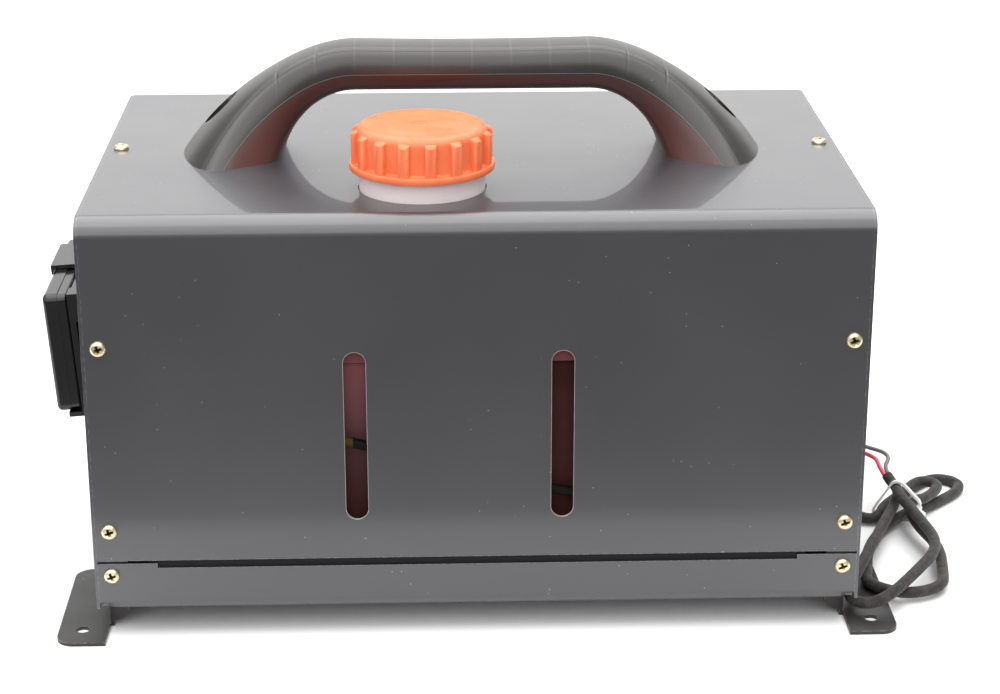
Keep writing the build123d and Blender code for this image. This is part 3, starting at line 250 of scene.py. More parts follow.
def lead_route():
    """The sleeve's control points: in at the top of the tie, four loops, and out to the plug."""
    points = [(0.2326, 0.015, 0.0219), (0.2346, 0.0103, 0.0194)]
    points += [waist_point(-0.0005, -0.0045, 2.12), waist_point(0.0035, 0.007, 2.1)]
    points += hank_loop(-107.3, 0.1225, 0.011, 0.0325, -0.0045, (2.15, 1.05), dip=0.85, long=True)
    points += [waist_point(0.001, 0.0075, 1.0), waist_point(-0.0003, -0.007, 1.0)]
    points += hank_loop(47.5, 0.0395, 0.0073, 0.005, -0.010, (1.1, 1.1))
    points += [waist_point(0.0102, -0.0065, 1.0), waist_point(0.0098, 0.006, 1.0)]
    points += hank_loop(-97, 0.1015, 0.020, 0.022, -0.0175, (1.0, 0.0), long=True)
    points += [waist_point(0.0026, 0.0075, 0.0), waist_point(0.0094, -0.007, 0.0)]
    points += hank_loop(49.5, 0.0645, 0.0115, -0.010, 0.013, (0.0, 0.0))
    points += [waist_point(-0.007, -0.007, 0.0), waist_point(-0.0066, 0.005, 0.0)]
    points += [(0.2215, -0.004, 0.0036), (0.214, -0.0005, 0.0042), (0.2116, 0.009, 0.0053)]
    return points + [(0.212, 0.020, 0.0053), (0.212, 0.030, 0.0053)]


def cord_curve(name, points, radius, material):
    """A round cord: one open NURBS spline with the route's points as its control points."""
    curve = bpy.data.curves.new(name, "CURVE")
    curve.dimensions = "3D"
    spline = curve.splines.new("NURBS")
    spline.points.add(len(points) - 1)
    for control, point in zip(spline.points, points):
        control.co = (*point, 1)
    spline.order_u = 3
    spline.use_endpoint_u = True
    spline.resolution_u = 8
    curve.bevel_depth = radius
    curve.bevel_resolution = 6
    curve.use_fill_caps = True
    return link_piece(name, curve, material)


def mix_color(tree, factor, first, second):
    """A colour mix; each side is a socket or a plain colour."""
    mix = add_node(tree, "ShaderNodeMix", data_type="RGBA")
    feed(tree, factor, mix.inputs[0])
    for side, socket in ((first, mix.inputs[6]), (second, mix.inputs[7])):
        feed(tree, side if isinstance(side, bpy.types.NodeSocket) else (*side, 1), socket)
    return mix.outputs[2]


def noise(tree, place, scale, detail, roughness=0.5):
    """A noise texture's value."""
    texture = add_node(
        tree, "ShaderNodeTexNoise", vector=place, scale=scale, detail=detail, roughness=roughness
    )
    return texture.outputs["Fac"]


def add_bump(tree, height, strength, distance, normal):
    """Lays a relief on a normal socket."""
    bump = add_node(tree, "ShaderNodeBump", strength=strength, distance=distance)
    tree.links.new(height, bump.inputs["Height"])
    tree.links.new(bump.outputs["Normal"], normal)


# Cloth tape wound slantwise round the sleeve: each turn laps the last, and the laps are rubbed grey.
tape_turns = 46.0
tape_lap = 0.16
tape_starts = 2.0
tape_slack = 0.9
slack_scale = 120.0
rub_scale = 210.0
rub_from = 0.36
rub_full = 0.68
crease_shade = 0.6
crease_depth = 0.7
thread_scale = 1500.0
thread_depth = 0.3
cloth_relief = 0.0005

sleeve_cloth, tree, shader = new_material("cloth_tape", (0.02, 0.019, 0.018), 0.72, sheen_weight=0.12)
on_surface = add_node(tree, "ShaderNodeTexCoord").outputs["UV"]
along, girth, _ = add_node(tree, "ShaderNodeSeparateXYZ", vector=on_surface).outputs
place = object_place(tree)
turns = reckon(tree, "MULTIPLY_ADD", along, tape_turns, reckon(tree, "MULTIPLY", girth, tape_starts))
turns = reckon(tree, "MULTIPLY_ADD", noise(tree, place, slack_scale, 3.0), tape_slack, turns)
crease = fade(tree, reckon(tree, "FRACT", turns), tape_lap, 0.0, smooth=True)
patches = noise(tree, place, rub_scale, 5.0, 0.7)
rubbed = fade(tree, patches, rub_from, rub_full)
cloth = mix_color(tree, rubbed, (0.0075, 0.0062, 0.0052), (0.050, 0.043, 0.037))
cloth = mix_color(tree, reckon(tree, "MULTIPLY", crease, crease_shade), cloth, (0.006, 0.005, 0.0045))
tree.links.new(cloth, shader.inputs["Base Color"])
folds = reckon(tree, "MULTIPLY_ADD", crease, -crease_depth, patches)
threads = reckon(tree, "MULTIPLY_ADD", noise(tree, place, thread_scale, 2.0), thread_depth, folds)
add_bump(tree, threads, 0.8, cloth_relief, shader.inputs["Normal"])


def finished_mesh(name, build, sharp=35, turn_out=True):
    """Turns faces outward, shades them smooth up to an angle, and gives the mesh."""
    bmesh.ops.remove_doubles(build, verts=build.verts, dist=1e-7)
    if turn_out:
        bmesh.ops.recalc_face_normals(build, faces=build.faces)
    mesh = bpy.data.meshes.new(name)
    build.to_mesh(mesh)
    build.free()
    if "custom_normal" in mesh.attributes:  # stored normals would decide which edges are sharp
        mesh.attributes.remove(mesh.attributes["custom_normal"])
    return smoothed(mesh, sharp)


def smoothed(mesh, sharp):
    """Shades a mesh smooth, with sharp edges from an angle on."""
    mesh.shade_smooth()
    mesh.set_sharp_from_angle(angle=math.radians(sharp))
    return mesh


def lathe(name, profile, centre, segments=64):
    """A closed turned shape: a profile of (radius, height) points, low to high, spun about Z."""
    build = bmesh.new()
    rings = []
    for radius, height in profile:
        ring = []
        for index in range(segments if radius else 1):
            turn = 2 * math.pi * index / segments
            x = centre[0] + radius * math.cos(turn)
            ring.append(build.verts.new((x, centre[1] + radius * math.sin(turn), centre[2] + height)))
        rings.append(ring)
    closed = len(rings[0]) > 1 and len(rings[-1]) > 1
    pairs = list(zip(rings, rings[1:])) + ([(rings[-1], rings[0])] if closed else [])
    for low, high in pairs:
        if len(low) == len(high) == 1:
            continue
        for index in range(segments):
            after = (index + 1) % segments
            if len(low) == 1:
                build.faces.new((low[0], high[after], high[index]))
            elif len(high) == 1:
                build.faces.new((low[index], low[after], high[0]))
            else:
                build.faces.new((low[index], low[after], high[after], high[index]))
    return finished_mesh(name, build)


def skin(build, rings, capped=True):
    """Faces from each ring of vertices to the next, and over both ends where it is capped."""
    for low, high in zip(rings, rings[1:]):
        for index in range(len(low)):
            after = (index + 1) % len(low)
            build.faces.new((low[index], low[after], high[after], high[index]))
    if capped:
        build.faces.new(rings[0][::-1])
        build.faces.new(rings[-1])


def add_block(build, low, high):
    """A box between two corners, added to a mesh that is being built."""
    (x0, y0, z0), (x1, y1, z1) = low, high
    corners = ((x0, y0), (x1, y0), (x1, y1), (x0, y1))
    skin(build, [[build.verts.new((x, y, z)) for x, y in corners] for z in (z0, z1)])


def rounded(build, width):
    """Rounds the sharp edges of a mesh that is being built."""
    edges = [edge for edge in build.edges if edge.is_manifold and edge.calc_face_angle() > math.radians(40)]
    bmesh.ops.bevel(build, geom=edges, offset=width, segments=3, profile=0.5, affect="EDGES")


def fit(piece, body, instead=None):
    """Says what a piece moves with, and hides the CAD node it stands for, if any."""
    if instead:
        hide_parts(instead)
    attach(piece, body)
    return piece


def effect_group(name, inputs, outputs):
    """An empty shader group; gives the group, the sockets that come in and those that go out."""
    group = bpy.data.node_groups.new(name, "ShaderNodeTree")
    for socket, value in inputs.items():
        entry = group.interface.new_socket(name=socket, in_out="INPUT", socket_type="NodeSocketFloat")
        entry.default_value = value
    for socket in outputs:
        group.interface.new_socket(name=socket, in_out="OUTPUT", socket_type="NodeSocketFloat")
    return group, group.nodes.new("NodeGroupInput").outputs, group.nodes.new("NodeGroupOutput").inputs


def grain_group():
    """Fine relief for a Bump node's height, and slow patches for colour and gloss."""
    settings = {"Grain Scale": 900.0, "Patch Scale": 30.0, "Patch Contrast": 1.0}
    group, enter, leave = effect_group("surface_grain", settings, ("Height", "Patches"))
    place = object_place(group)
    group.links.new(noise(group, place, enter["Grain Scale"], 3.0, 0.6), leave["Height"])
    centred = reckon(group, "SUBTRACT", noise(group, place, enter["Patch Scale"], 4.0, 0.55), 0.5)
    spread = reckon(group, "MULTIPLY_ADD", centred, enter["Patch Contrast"], 0.5, clamp=True)
    group.links.new(spread, leave["Patches"])
    return group


surface_grain = grain_group()
gloss_low = 0.85
gloss_high = 1.2


def grained(name, low, high, roughness, grain=900.0, depth=0.00003, patch=30.0, contrast=1.5, **sockets):
    """A moulded or cast finish: two near colours in slow patches, uneven gloss and a fine relief."""
    material, tree, shader = new_material(name, low, roughness, **sockets)
    effect = add_node(
        tree, "ShaderNodeGroup", node_tree=surface_grain,
        grain_scale=grain, patch_scale=patch, patch_contrast=contrast,
    ).outputs
    tree.links.new(mix_color(tree, effect["Patches"], low, high), shader.inputs["Base Color"])
    low_end, high_end = roughness * gloss_low, min(1.0, roughness * gloss_high)
    gloss = fade(tree, effect["Patches"], 0.0, 1.0, False, low_end, high_end)
    tree.links.new(gloss, shader.inputs["Roughness"])
    add_bump(tree, effect["Height"], 0.6, depth, shader.inputs["Normal"])
    return material, tree, shader


# The plug: a white two-pin housing with rounded edges, walls round its mouth and two pin barrels.
plug_size = (0.015, 0.020, 0.010)
plug_wall = 0.002
plug_depth = 0.008
plug_pin_radius = 0.0012
plug_rounding = 0.0010

nylon = grained(
    "white_nylon", (0.78, 0.78, 0.75), (0.88, 0.88, 0.86), 0.42,
    subsurface_weight=0.15, subsurface_scale=0.002,
)[0]
plug_x, plug_y, plug_z = lead_route()[-1]
plug_half, plug_rise = plug_size[0] / 2, plug_size[2] / 2
mouth = plug_y + plug_size[1] - plug_depth
build = bmesh.new()
back_corner = (plug_x - plug_half, plug_y, plug_z - plug_rise)
add_block(build, back_corner, (plug_x + plug_half, mouth, plug_z + plug_rise))
rounded(build, plug_rounding)
for side in (-1, 1):
    wall = sorted((plug_x + side * plug_half, plug_x + side * (plug_half - plug_wall)))
    add_block(build, (wall[0], mouth, plug_z - plug_rise), (wall[1], mouth + plug_depth, plug_z + plug_rise))
    shelf = sorted((plug_z + side * plug_rise, plug_z + side * (plug_rise - plug_wall)))
    inner = plug_half - plug_wall
    add_block(build, (plug_x - inner, mouth, shelf[0]), (plug_x + inner, mouth + plug_depth, shelf[1]))
    barrel = Matrix.Translation((plug_x + side * plug_size[0] / 5, mouth + plug_depth / 2, plug_z))
    bmesh.ops.create_cone(
        build,
        cap_ends=True,
        segments=20,
        radius1=plug_pin_radius,
        radius2=plug_pin_radius * 0.8,
        depth=plug_depth - 0.001,
        matrix=barrel @ Matrix.Rotation(math.radians(90), 4, "X"),
    )
plug = link_piece("lead_plug", finished_mesh("lead_plug", build), nylon)
fit(plug, "housing", "power_plug")

sleeve = cord_curve("lead_sleeve", lead_route(), lead_radius, sleeve_cloth)
fit(sleeve, "housing", "power_lead")
lead_route()[0]


# The two supply wires, with glossy insulation, out of the grommet and square into the sleeve's end.
wire_radius = 0.0012
wire_pitch = 0.0027
wire_start = 0.194
wire_straight = 0.009
wire_square = 0.006
grommet_y = 0.048
grommet_z = 0.034
black_route = [(0.2145, 0.0474, 0.0312), (0.2230, 0.0448, 0.0280), (0.2295, 0.0385, 0.0282)]
black_route += [(0.2340, 0.0315, 0.0290), (0.2356, 0.0256, 0.0279)]
red_route = [(0.2140, 0.0468, 0.0276), (0.2234, 0.0436, 0.0244), (0.2282, 0.0360, 0.0246)]
red_route += [(0.2290, 0.0276, 0.0262)]


def supply_wire(name, side, route, low, high):
    """A wire from the grommet along its bends to the sleeve, in its own insulation colour."""
    first, second = [Vector(point) for point in lead_route()[:2]]
    direction = (second - first).normalized()
    step = direction.cross(Vector((0, 0, 1))).normalized() * (wire_pitch / 2)
    last = first - step * side
    start_z = grommet_z + side * wire_pitch / 2
    points = [(wire_start, grommet_y, start_z), (wire_start + wire_straight, grommet_y, start_z)]
    points += route + [tuple(last - direction * wire_square), tuple(last)]
    insulation = grained(name + "_insulation", low, high, 0.32, grain=1400.0, depth=0.00001)[0]
    wire = cord_curve(name + "_core", points, wire_radius, insulation)
    fit(wire, "housing", name)


supply_wire("black_wire", 1, black_route, (0.15, 0.15, 0.14), (0.24, 0.24, 0.23))
supply_wire("red_wire", -1, red_route, (0.80, 0.055, 0.10), (0.88, 0.09, 0.15))


# ---- Folded housing ----
# The housing is folded steel sheet: one cover for front, top and back, a shallow tray below it and two
# end plates, screwed together. All four are powder coated in a glossy near-black grey.
slot_middles = (-0.060, 0.0415)
slot_half_width = 0.0055
slot_half_length = 0.044
slot_level = 0.107
housing_front = -0.1265
cover_sheet = 0.0012
merge_within = 2e-6
touching = 0.0001
bend_from = 0.995
bend_full = 0.90
chip_from = 0.42
chip_full = 0.60


def dress(material, *names, sharp=30):
    """Merged and smoothly shaded copies that stand in for CAD nodes in their finish; gives the last one."""
    for name in names:
        build = bmesh.new()
        build.from_mesh(nodes[name].data)
        bmesh.ops.remove_doubles(build, verts=build.verts, dist=merge_within)
        mesh = finished_mesh(name + "_finished", build, sharp, False)
        piece = link_piece(name + "_finished", mesh, material)
        weighted = piece.modifiers.new("weighted_normals", "WEIGHTED_NORMAL")
        weighted.keep_sharp = True
        weighted.weight = 100
        fit(piece, nodes[name]["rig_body"], name)
    return piece


def edge_wear_group():
    """A mask of rubbed edges: where a rounded normal leaves the flat one, broken up by noise."""
    group, enter, leave = effect_group(
        "edge_wear", {"Radius": 0.0008, "Break Scale": 260.0, "Amount": 0.5}, ("Mask",)
    )
    rounded_normal = add_node(group, "ShaderNodeBevel", samples=4, radius=enter["Radius"])
    match = add_node(group, "ShaderNodeVectorMath", operation="DOT_PRODUCT")
    group.links.new(rounded_normal.outputs["Normal"], match.inputs[0])
    group.links.new(add_node(group, "ShaderNodeNewGeometry").outputs["Normal"], match.inputs[1])
    edge = fade(group, match.outputs["Value"], bend_from, bend_full)
    breaks = noise(group, object_place(group), enter["Break Scale"], 4.0, 0.65)
    chips = fade(group, breaks, chip_from, chip_full)
    mask = reckon(group, "MULTIPLY", reckon(group, "MULTIPLY", edge, chips), enter["Amount"], clamp=True)
    group.links.new(mask, leave["Mask"])
    return group


def dust_group():
    """A mask of small scattered specks: the middles of some Voronoi cells."""
    group, enter, leave = effect_group("dust", {"Scale": 160.0, "Speck Size": 0.06, "Share": 0.3}, ("Mask",))
    cells = add_node(group, "ShaderNodeTexVoronoi", vector=object_place(group), scale=enter["Scale"])
    parts = add_node(group, "ShaderNodeSeparateColor")
    group.links.new(cells.outputs["Color"], parts.inputs["Color"])
    near = reckon(group, "LESS_THAN", cells.outputs["Distance"], enter["Speck Size"])
    some = reckon(group, "LESS_THAN", parts.outputs["Red"], enter["Share"])
    group.links.new(reckon(group, "MULTIPLY", near, some), leave["Mask"])
    return group


edge_wear = edge_wear_group()
dust = dust_group()


def overlay(tree, shader, mask, color):
    """Lays a colour over the one that a finish has so far, where a mask lets it show."""
    finish = shader.inputs["Base Color"].links[0].from_socket
    tree.links.new(mix_color(tree, mask, finish, color), shader.inputs["Base Color"])


def worn(tree, shader, under, radius=0.0008, scale=260.0, amount=0.5):
    """Shows what lies under a finish along its rubbed edges."""
    wear = add_node(
        tree, "ShaderNodeGroup", node_tree=edge_wear, radius=radius, break_scale=scale, amount=amount
    )
    overlay(tree, shader, wear.outputs["Mask"], under)


def dusted(tree, shader, color, scale=160.0, size=0.06, share=0.3):
    """Adds specks of dust to a finish."""
    specks = add_node(tree, "ShaderNodeGroup", node_tree=dust, scale=scale, speck_size=size, share=share)
    overlay(tree, shader, specks.outputs["Mask"], color)


powder_coat, tree, shader = grained(
    "powder_coat", (0.017, 0.0162, 0.021), (0.023, 0.022, 0.027), 0.38,
    grain=260.0, depth=0.00006, patch=14.0, contrast=1.2,
    ior=1.8, coat_weight=0.55, coat_roughness=0.03, coat_ior=1.6,
)
worn(tree, shader, (0.34, 0.33, 0.32), radius=0.0006, scale=420.0, amount=0.6)
dusted(tree, shader, (0.36, 0.34, 0.33), scale=230.0, size=0.060, share=0.22)
painted_edge_highlight = grained(
    "painted_edge_highlight", (0.28, 0.235, 0.23), (0.42, 0.36, 0.35), 0.45, grain=1500.0, patch=220.0, contrast=2.5
)[0]

cover = dress(powder_coat, "upper_cover")
# The slots' punched side faces are painted bright as a highlight.
cover.data.materials.append(painted_edge_highlight)
for face in cover.data.polygons:
    x, y, z = face.center
    in_sheet = housing_front < y < housing_front + cover_sheet
    in_slot = min(abs(x - middle) for middle in slot_middles) < slot_half_width + touching
    if in_sheet and in_slot and abs(z - slot_level) < slot_half_length + touching:
        face.material_index = 1
dress(powder_coat, "left_end_plate", "right_end_plate")

# Round each slot a thin rim is painted bright as a highlight on the punched edge.
rim_width = 0.00023
rim_lift = 0.00003
rim_root = 0.00002
rim_steps = 48

build = bmesh.new()
for middle in slot_middles:
    loops = []
    for out, depth in ((0, rim_root), (0, -rim_lift), (rim_width, -rim_lift), (rim_width, rim_root)):
        radius = slot_half_width + out
        loop = []
        for index in range(rim_steps):
            turn = 2 * math.pi * (index + 0.5) / rim_steps
            level = slot_level + math.copysign(slot_half_length - slot_half_width, math.sin(turn))
            point = (middle + radius * math.cos(turn), housing_front + depth, level + radius * math.sin(turn))
            loop.append(build.verts.new(point))
        loops.append(loop)
    skin(build, loops + loops[:1], capped=False)
fit(link_piece("slot_rims", finished_mesh("slot_rims", build), painted_edge_highlight), "housing")

# The tray's lip steps in behind the cover's hem, and that step is painted dull and dark as shade under the
# hem.
step_low = 0.0379
step_high = 0.0496
lip_face = -0.1253

step_painted_shade = grained(
    "step_painted_shade", (0.010, 0.0095, 0.010), (0.018, 0.017, 0.018), 0.75, grain=600.0, depth=0.00004,
    specular_ior_level=0.2,
)[0]
tray = dress(powder_coat, "base_tray")
tray.data.materials.append(step_painted_shade)
for face in tray.data.polygons:
    x, y, z = face.center
    behind = y < lip_face + touching and (face.normal.z > 0.5 or abs(y - lip_face) < touching)
    if behind and step_low < z < step_high and face.normal.y < 0.5:
        face.material_index = 1


# ---- Sheet screws ----
# Fourteen pan-head sheet screws hold the cover. They are steel, zinc plated with a yellow passivation,
# with a cross recess in a domed head. Their edges are rubbed brown, and the recess is painted dark as shade.
screw_head_radius = 0.004
screw_head_height = 0.0024
screw_head_edge = 0.0003
screw_dome_flat = 0.42
screw_dome_curve = 0.8
screw_shank_radius = 0.002
screw_shank_length = 0.008
screw_ridges = 8
screw_neck = 0.8
ridge_root = 0.72
ridge_crest = 0.98
screw_column = 0.183
screw_levels = (0.1545, 0.058, 0.034)
recess_reach = 0.0027
recess_half_width = 0.00072
recess_depth = 0.0019
recess_foot = 0.35
recess_turn = 20
recess_above = 0.0004
recess_shade_drop = 0.0004
top_screw_shift = 0.0015
housing_top = 0.219


def baked(thing):
    """The mesh that an object's modifiers give."""
    graph = bpy.context.evaluated_depsgraph_get()
    graph.update()
    return bpy.data.meshes.new_from_object(thing.evaluated_get(graph))


def set_out(name, shape, places, material):
    """Stands one shape at many places with Geometry Nodes, and gives them as one plain piece."""
    points = bpy.data.meshes.new(name + "_places")
    points.from_pydata([place.to_translation() for place in places], [], [])
    turns = points.attributes.new("turn", "FLOAT_VECTOR", "POINT")
    for entry, place in zip(turns.data, places):
        entry.vector = place.to_euler()
    model = new_object(name + "_model", shape)
    carrier = new_object(name + "_carrier", points)
    tree = bpy.data.node_groups.new(name + "_set_out", "GeometryNodeTree")
    tree.interface.new_socket(name="Geometry", in_out="INPUT", socket_type="NodeSocketGeometry")
    size_input = tree.interface.new_socket(name="Size", in_out="INPUT", socket_type="NodeSocketFloat")
    tree.interface.new_socket(name="Geometry", in_out="OUTPUT", socket_type="NodeSocketGeometry")
    enter = add_node(tree, "NodeGroupInput")
    leave = add_node(tree, "NodeGroupOutput")
    source = add_node(tree, "GeometryNodeObjectInfo")
    source.inputs["Object"].default_value = model
    stored = add_node(tree, "GeometryNodeInputNamedAttribute", data_type="FLOAT_VECTOR")
    stored.inputs["Name"].default_value = "turn"
    turned = add_node(tree, "FunctionNodeEulerToRotation")
    stand = add_node(tree, "GeometryNodeInstanceOnPoints")
    whole = add_node(tree, "GeometryNodeRealizeInstances")
    paint = add_node(tree, "GeometryNodeSetMaterial")
    paint.inputs["Material"].default_value = material
    for giver, output, taker, socket in (
        (enter, "Geometry", stand, "Points"),
        (source, "Geometry", stand, "Instance"),
        (stored, "Attribute", turned, "Euler"),
        (turned, "Rotation", stand, "Rotation"),
        (enter, "Size", stand, "Scale"),
        (stand, "Instances", whole, "Geometry"),
        (whole, "Geometry", paint, "Geometry"),
        (paint, "Geometry", leave, "Geometry"),
    ):
        tree.links.new(giver.outputs[output], taker.inputs[socket])
    fitting = carrier.modifiers.new("set_out", "NODES")
    fitting.node_group = tree
    fitting[size_input.identifier] = 1.0
    mesh = baked(carrier)
    carrier.modifiers.remove(fitting)
    for helper in (carrier, model):
        bpy.data.objects.remove(helper)
    mesh.name = name
    return new_object(name, mesh)


def carved(mesh, cutter):
    """A mesh with another cut out of it."""
    body = new_object("carved_body", mesh)
    tool = new_object("carving_tool", cutter)
    cut = body.modifiers.new("cut", "BOOLEAN")
    cut.object = tool
    cut.solver = "EXACT"
    result = baked(body)
    for helper in (body, tool):
        bpy.data.objects.remove(helper)
    return result


def stored_value(tree, name):
    """What the mesh stores under a name at each point."""
    return add_node(tree, "ShaderNodeAttribute", attribute_name=name).outputs["Fac"]


def recess_bar(turn):
    """One bar of a cross recess, to be cut out: wide at the top, narrow and short at the bottom."""
    build = bmesh.new()
    layers = []
    spin = Matrix.Rotation(math.radians(turn), 3, "Z")
    low, high = screw_head_height - recess_depth, screw_head_height + recess_above
    for height, share in ((low, recess_foot), (high, 1.0)):
        reach, half_width = recess_reach * share, recess_half_width * (0.6 + 0.4 * share)
        corners = [(-reach, -half_width), (reach, -half_width), (reach, half_width), (-reach, half_width)]
        layers.append([build.verts.new(spin @ Vector((x, y, height))) for x, y in corners])
    skin(build, layers)
    return finished_mesh("cross_recess", build)


def screw_shape():
    """A pan-head screw with its seat at zero, a domed head with a cross recess, and a ringed shank."""
    dome_height = screw_head_height - screw_head_edge
    profile = [(0, -screw_shank_length), (screw_shank_radius * 0.5, -screw_shank_length + 0.001)]
    for index in range(screw_ridges):
        level = -screw_shank_length + 0.0018 + index * (screw_shank_length - 0.002) / screw_ridges
        profile.append((screw_shank_radius * ridge_root, level - 0.0003))
        profile.append((screw_shank_radius * ridge_crest, level))
    profile += [(screw_shank_radius * screw_neck, -0.0002), (screw_shank_radius * screw_neck, 0.0)]
    profile += [(screw_head_radius * 0.97, 0.0), (screw_head_radius, screw_head_edge)]
    for index in range(1, 8):
        turn = math.radians(90 * index / 8)
        share = screw_dome_flat + (1 - screw_dome_flat) * math.cos(turn) ** screw_dome_curve
        profile.append((screw_head_radius * share, screw_head_edge + dome_height * math.sin(turn)))
    profile.append((0, screw_head_height))
    head = lathe("screw_blank", profile, (0, 0, 0), 32)
    for bar in (0, 90):
        head = carved(head, recess_bar(bar + recess_turn))
    smoothed(head, 32)
    # Points deep in the recess are marked for painted shade.
    recess_shade = head.attributes.new("recess_shade", "FLOAT", "POINT")
    for entry, vert in zip(recess_shade.data, head.vertices):
        x, y, z = vert.co
        out = math.hypot(x, y)
        share = (out / screw_head_radius - screw_dome_flat) / (1 - screw_dome_flat)
        share = min(max(share, 0.0), 1.0) ** (1 / screw_dome_curve)
        dome = screw_head_edge + dome_height * math.sin(math.acos(share))
        entry.value = float(z > 0 and out < recess_reach and z < dome - recess_shade_drop)
    return head


zinc, tree, shader = grained(
    "yellow_zinc", (0.72, 0.56, 0.30), (0.92, 0.85, 0.66), 0.34, grain=2600.0, depth=0.00002,
    patch=420.0, contrast=2.2, metallic=1.0,
)
worn(tree, shader, (0.34, 0.20, 0.08), radius=0.0003, scale=900.0, amount=0.7)
# Painted shade darkens the recess.
overlay(tree, shader, stored_value(tree, "recess_shade"), (0.030, 0.022, 0.010))
front = Matrix.Rotation(math.radians(90), 4, "X")
back = Matrix.Rotation(math.radians(-90), 4, "X")
screw_places = []
for side in (-1, 1):
    for level in screw_levels:
        for depth, turn in ((housing_front, front), (-housing_front, back)):
            screw_places.append(Matrix.Translation((side * screw_column, depth, level)) @ turn)
    screw_places.append(Matrix.Translation((side * screw_column, top_screw_shift, housing_top)))
screws = set_out("pan_head_screws", screw_shape(), screw_places, zinc)
fit(screws, "housing", "cover_screws")


# ---- Feet ----
# Two feet of bent 2 mm steel run across under the tray's ends and stand out as ears with a bolt slot.
# They are brush painted black-brown, and the paint is chipped to a pale primer along the edges.
foot_paint, tree, shader = grained(
    "foot_paint", (0.009, 0.0075, 0.0072), (0.017, 0.0145, 0.0140), 0.42, grain=520.0, depth=0.00008,
    patch=60.0, contrast=1.6, coat_weight=0.12, coat_roughness=0.15,
)
worn(tree, shader, (0.30, 0.25, 0.22), radius=0.0008, scale=380.0, amount=0.6)
dusted(tree, shader, (0.40, 0.36, 0.32), scale=260.0, size=0.08, share=0.10)
dress(foot_paint, "left_foot", "right_foot")

plain_steel, tree, shader = grained(
    "plain_steel", (0.42, 0.42, 0.41), (0.62, 0.62, 0.61), 0.34, grain=1800.0, depth=0.00001,
    patch=160.0, contrast=1.6, metallic=1.0,
)
worn(tree, shader, (0.16, 0.13, 0.10), radius=0.0005, scale=700.0, amount=0.6)
dress(plain_steel, "foot_rivets", "handle_bolts", "handle_nuts")


# ---- Carry handle ----
# One arch of dark grey polyamide from a two-part mould, with flared feet bolted down in deep recesses.
# Its satin skin shows the mould's parting line on each side and shallow sink bands across its crown.
handle_pivot = 0.060
grip_dip = 0.0008
handle_turns = 22
grip_stretches = 12
handle_screw_x = 0.130
handle_recess_radius = 0.0085
handle_recess_floor = 0.225
handle_bolt_radius = 0.00325
handle_cut = 0.02
sink_pitch = 0.020
sink_half_width = 0.0010
sink_end = 0.105
sink_fade = 0.004
sink_tint = 0.28
line_tint = 0.4
parting_line = (0.00012, 0.00018)
crown_line = (0.00010, 0.00025)
crown_fade = 0.0100
cap_reflection_fade = 0.0012
line_relief = 0.00025
# Underside, side, shoulder and crown of the grip's section, as height from the pivot and half width, and
# what the flared feet add to each.
grip_corners = ((0.033, 0.011), (0.045, 0.017), (0.0558, 0.0125), (0.057, 0.0))
foot_growth = ((0.0045, 0.0145), (0.0134, 0.021), (0.0212, 0.034), (0.034, 0.0))
parting_level = 0.0425
parting_growth = 0.024
crown_drop = 0.001


def arc_points(first, middle, last, count):
    """Points along the circle through three points, without the last one."""
    (ax, ay), (bx, by), (cx, cy) = first, middle, last
    scale = 2 * (ax * (by - cy) + bx * (cy - ay) + cx * (ay - by))
    a, b, c = ax * ax + ay * ay, bx * bx + by * by, cx * cx + cy * cy
    x = (a * (by - cy) + b * (cy - ay) + c * (ay - by)) / scale
    y = (a * (cx - bx) + b * (ax - cx) + c * (bx - ax)) / scale
    radius = math.hypot(ax - x, ay - y)
    start = math.atan2(ay - y, ax - x)
    sweep = (math.atan2(cy - y, cx - x) - start + math.pi) % (2 * math.pi) - math.pi
    turns = [start + sweep * index / count for index in range(count)]
    return [(x + radius * math.cos(turn), y + radius * math.sin(turn)) for turn in turns]


def handle_outline(flare, rise):
    """Points round one section, each with its distance from the parting line and from the crown's edge."""
    under, side, shoulder, over = [
        (half + wider * flare, out + more * flare)
        for (out, half), (more, wider) in zip(grip_corners, foot_growth)
    ]
    shoulder = (shoulder[0], shoulder[1] + rise)
    over = (0, over[1] + rise)
    beyond = [(-across, out) for across, out in (shoulder, side, under)]
    outline = arc_points(under, side, shoulder, 12) + arc_points(shoulder, over, beyond[0], 16)
    outline += arc_points(*beyond, 12) + [(-under[0] * (1 - index / 4), under[1]) for index in range(8)]
    for _ in range(2 + round(7 * flare)):
        before = outline[-1:] + outline[:-1]
        after = outline[1:] + outline[:1]
        outline = [
            tuple(0.25 * (low + high) + 0.5 * own for low, own, high in zip(*trio))
            for trio in zip(before, outline, after)
        ]
    parting = parting_level + parting_growth * flare
    crown = shoulder[1] - crown_drop
    return [(across, out, out - parting, out - crown) for across, out in outline]


stations = [(step / handle_turns, 0.0) for step in range(handle_turns + 1)]
stations += [(1.0, step / (2 * grip_stretches)) for step in range(1, 2 * grip_stretches)]
stations += [(1 - step / handle_turns, 1.0) for step in range(handle_turns + 1)]
build = bmesh.new()
parting_layer = build.verts.layers.float.new("parting")
crown_layer = build.verts.layers.float.new("crown")
rings = []
for index, (bend, along) in enumerate(stations):
    side = -1 if index < len(stations) / 2 else 1
    turn = math.radians(90 * bend)
    middle = handle_pivot * (2 * along - 1)
    rise = -grip_dip * (1 - (middle / handle_pivot) ** 2)
    ring = []
    for across, out, to_parting, to_crown in handle_outline((1 - bend) ** 3, rise):
        x = middle + side * out * math.cos(turn)
        vert = build.verts.new((x, across, housing_top + out * math.sin(turn)))
        vert[parting_layer] = to_parting
        vert[crown_layer] = to_crown
        ring.append(vert)
    rings.append(ring)
skin(build, rings)
handle_body = finished_mesh("carry_handle_moulding", build, 60)
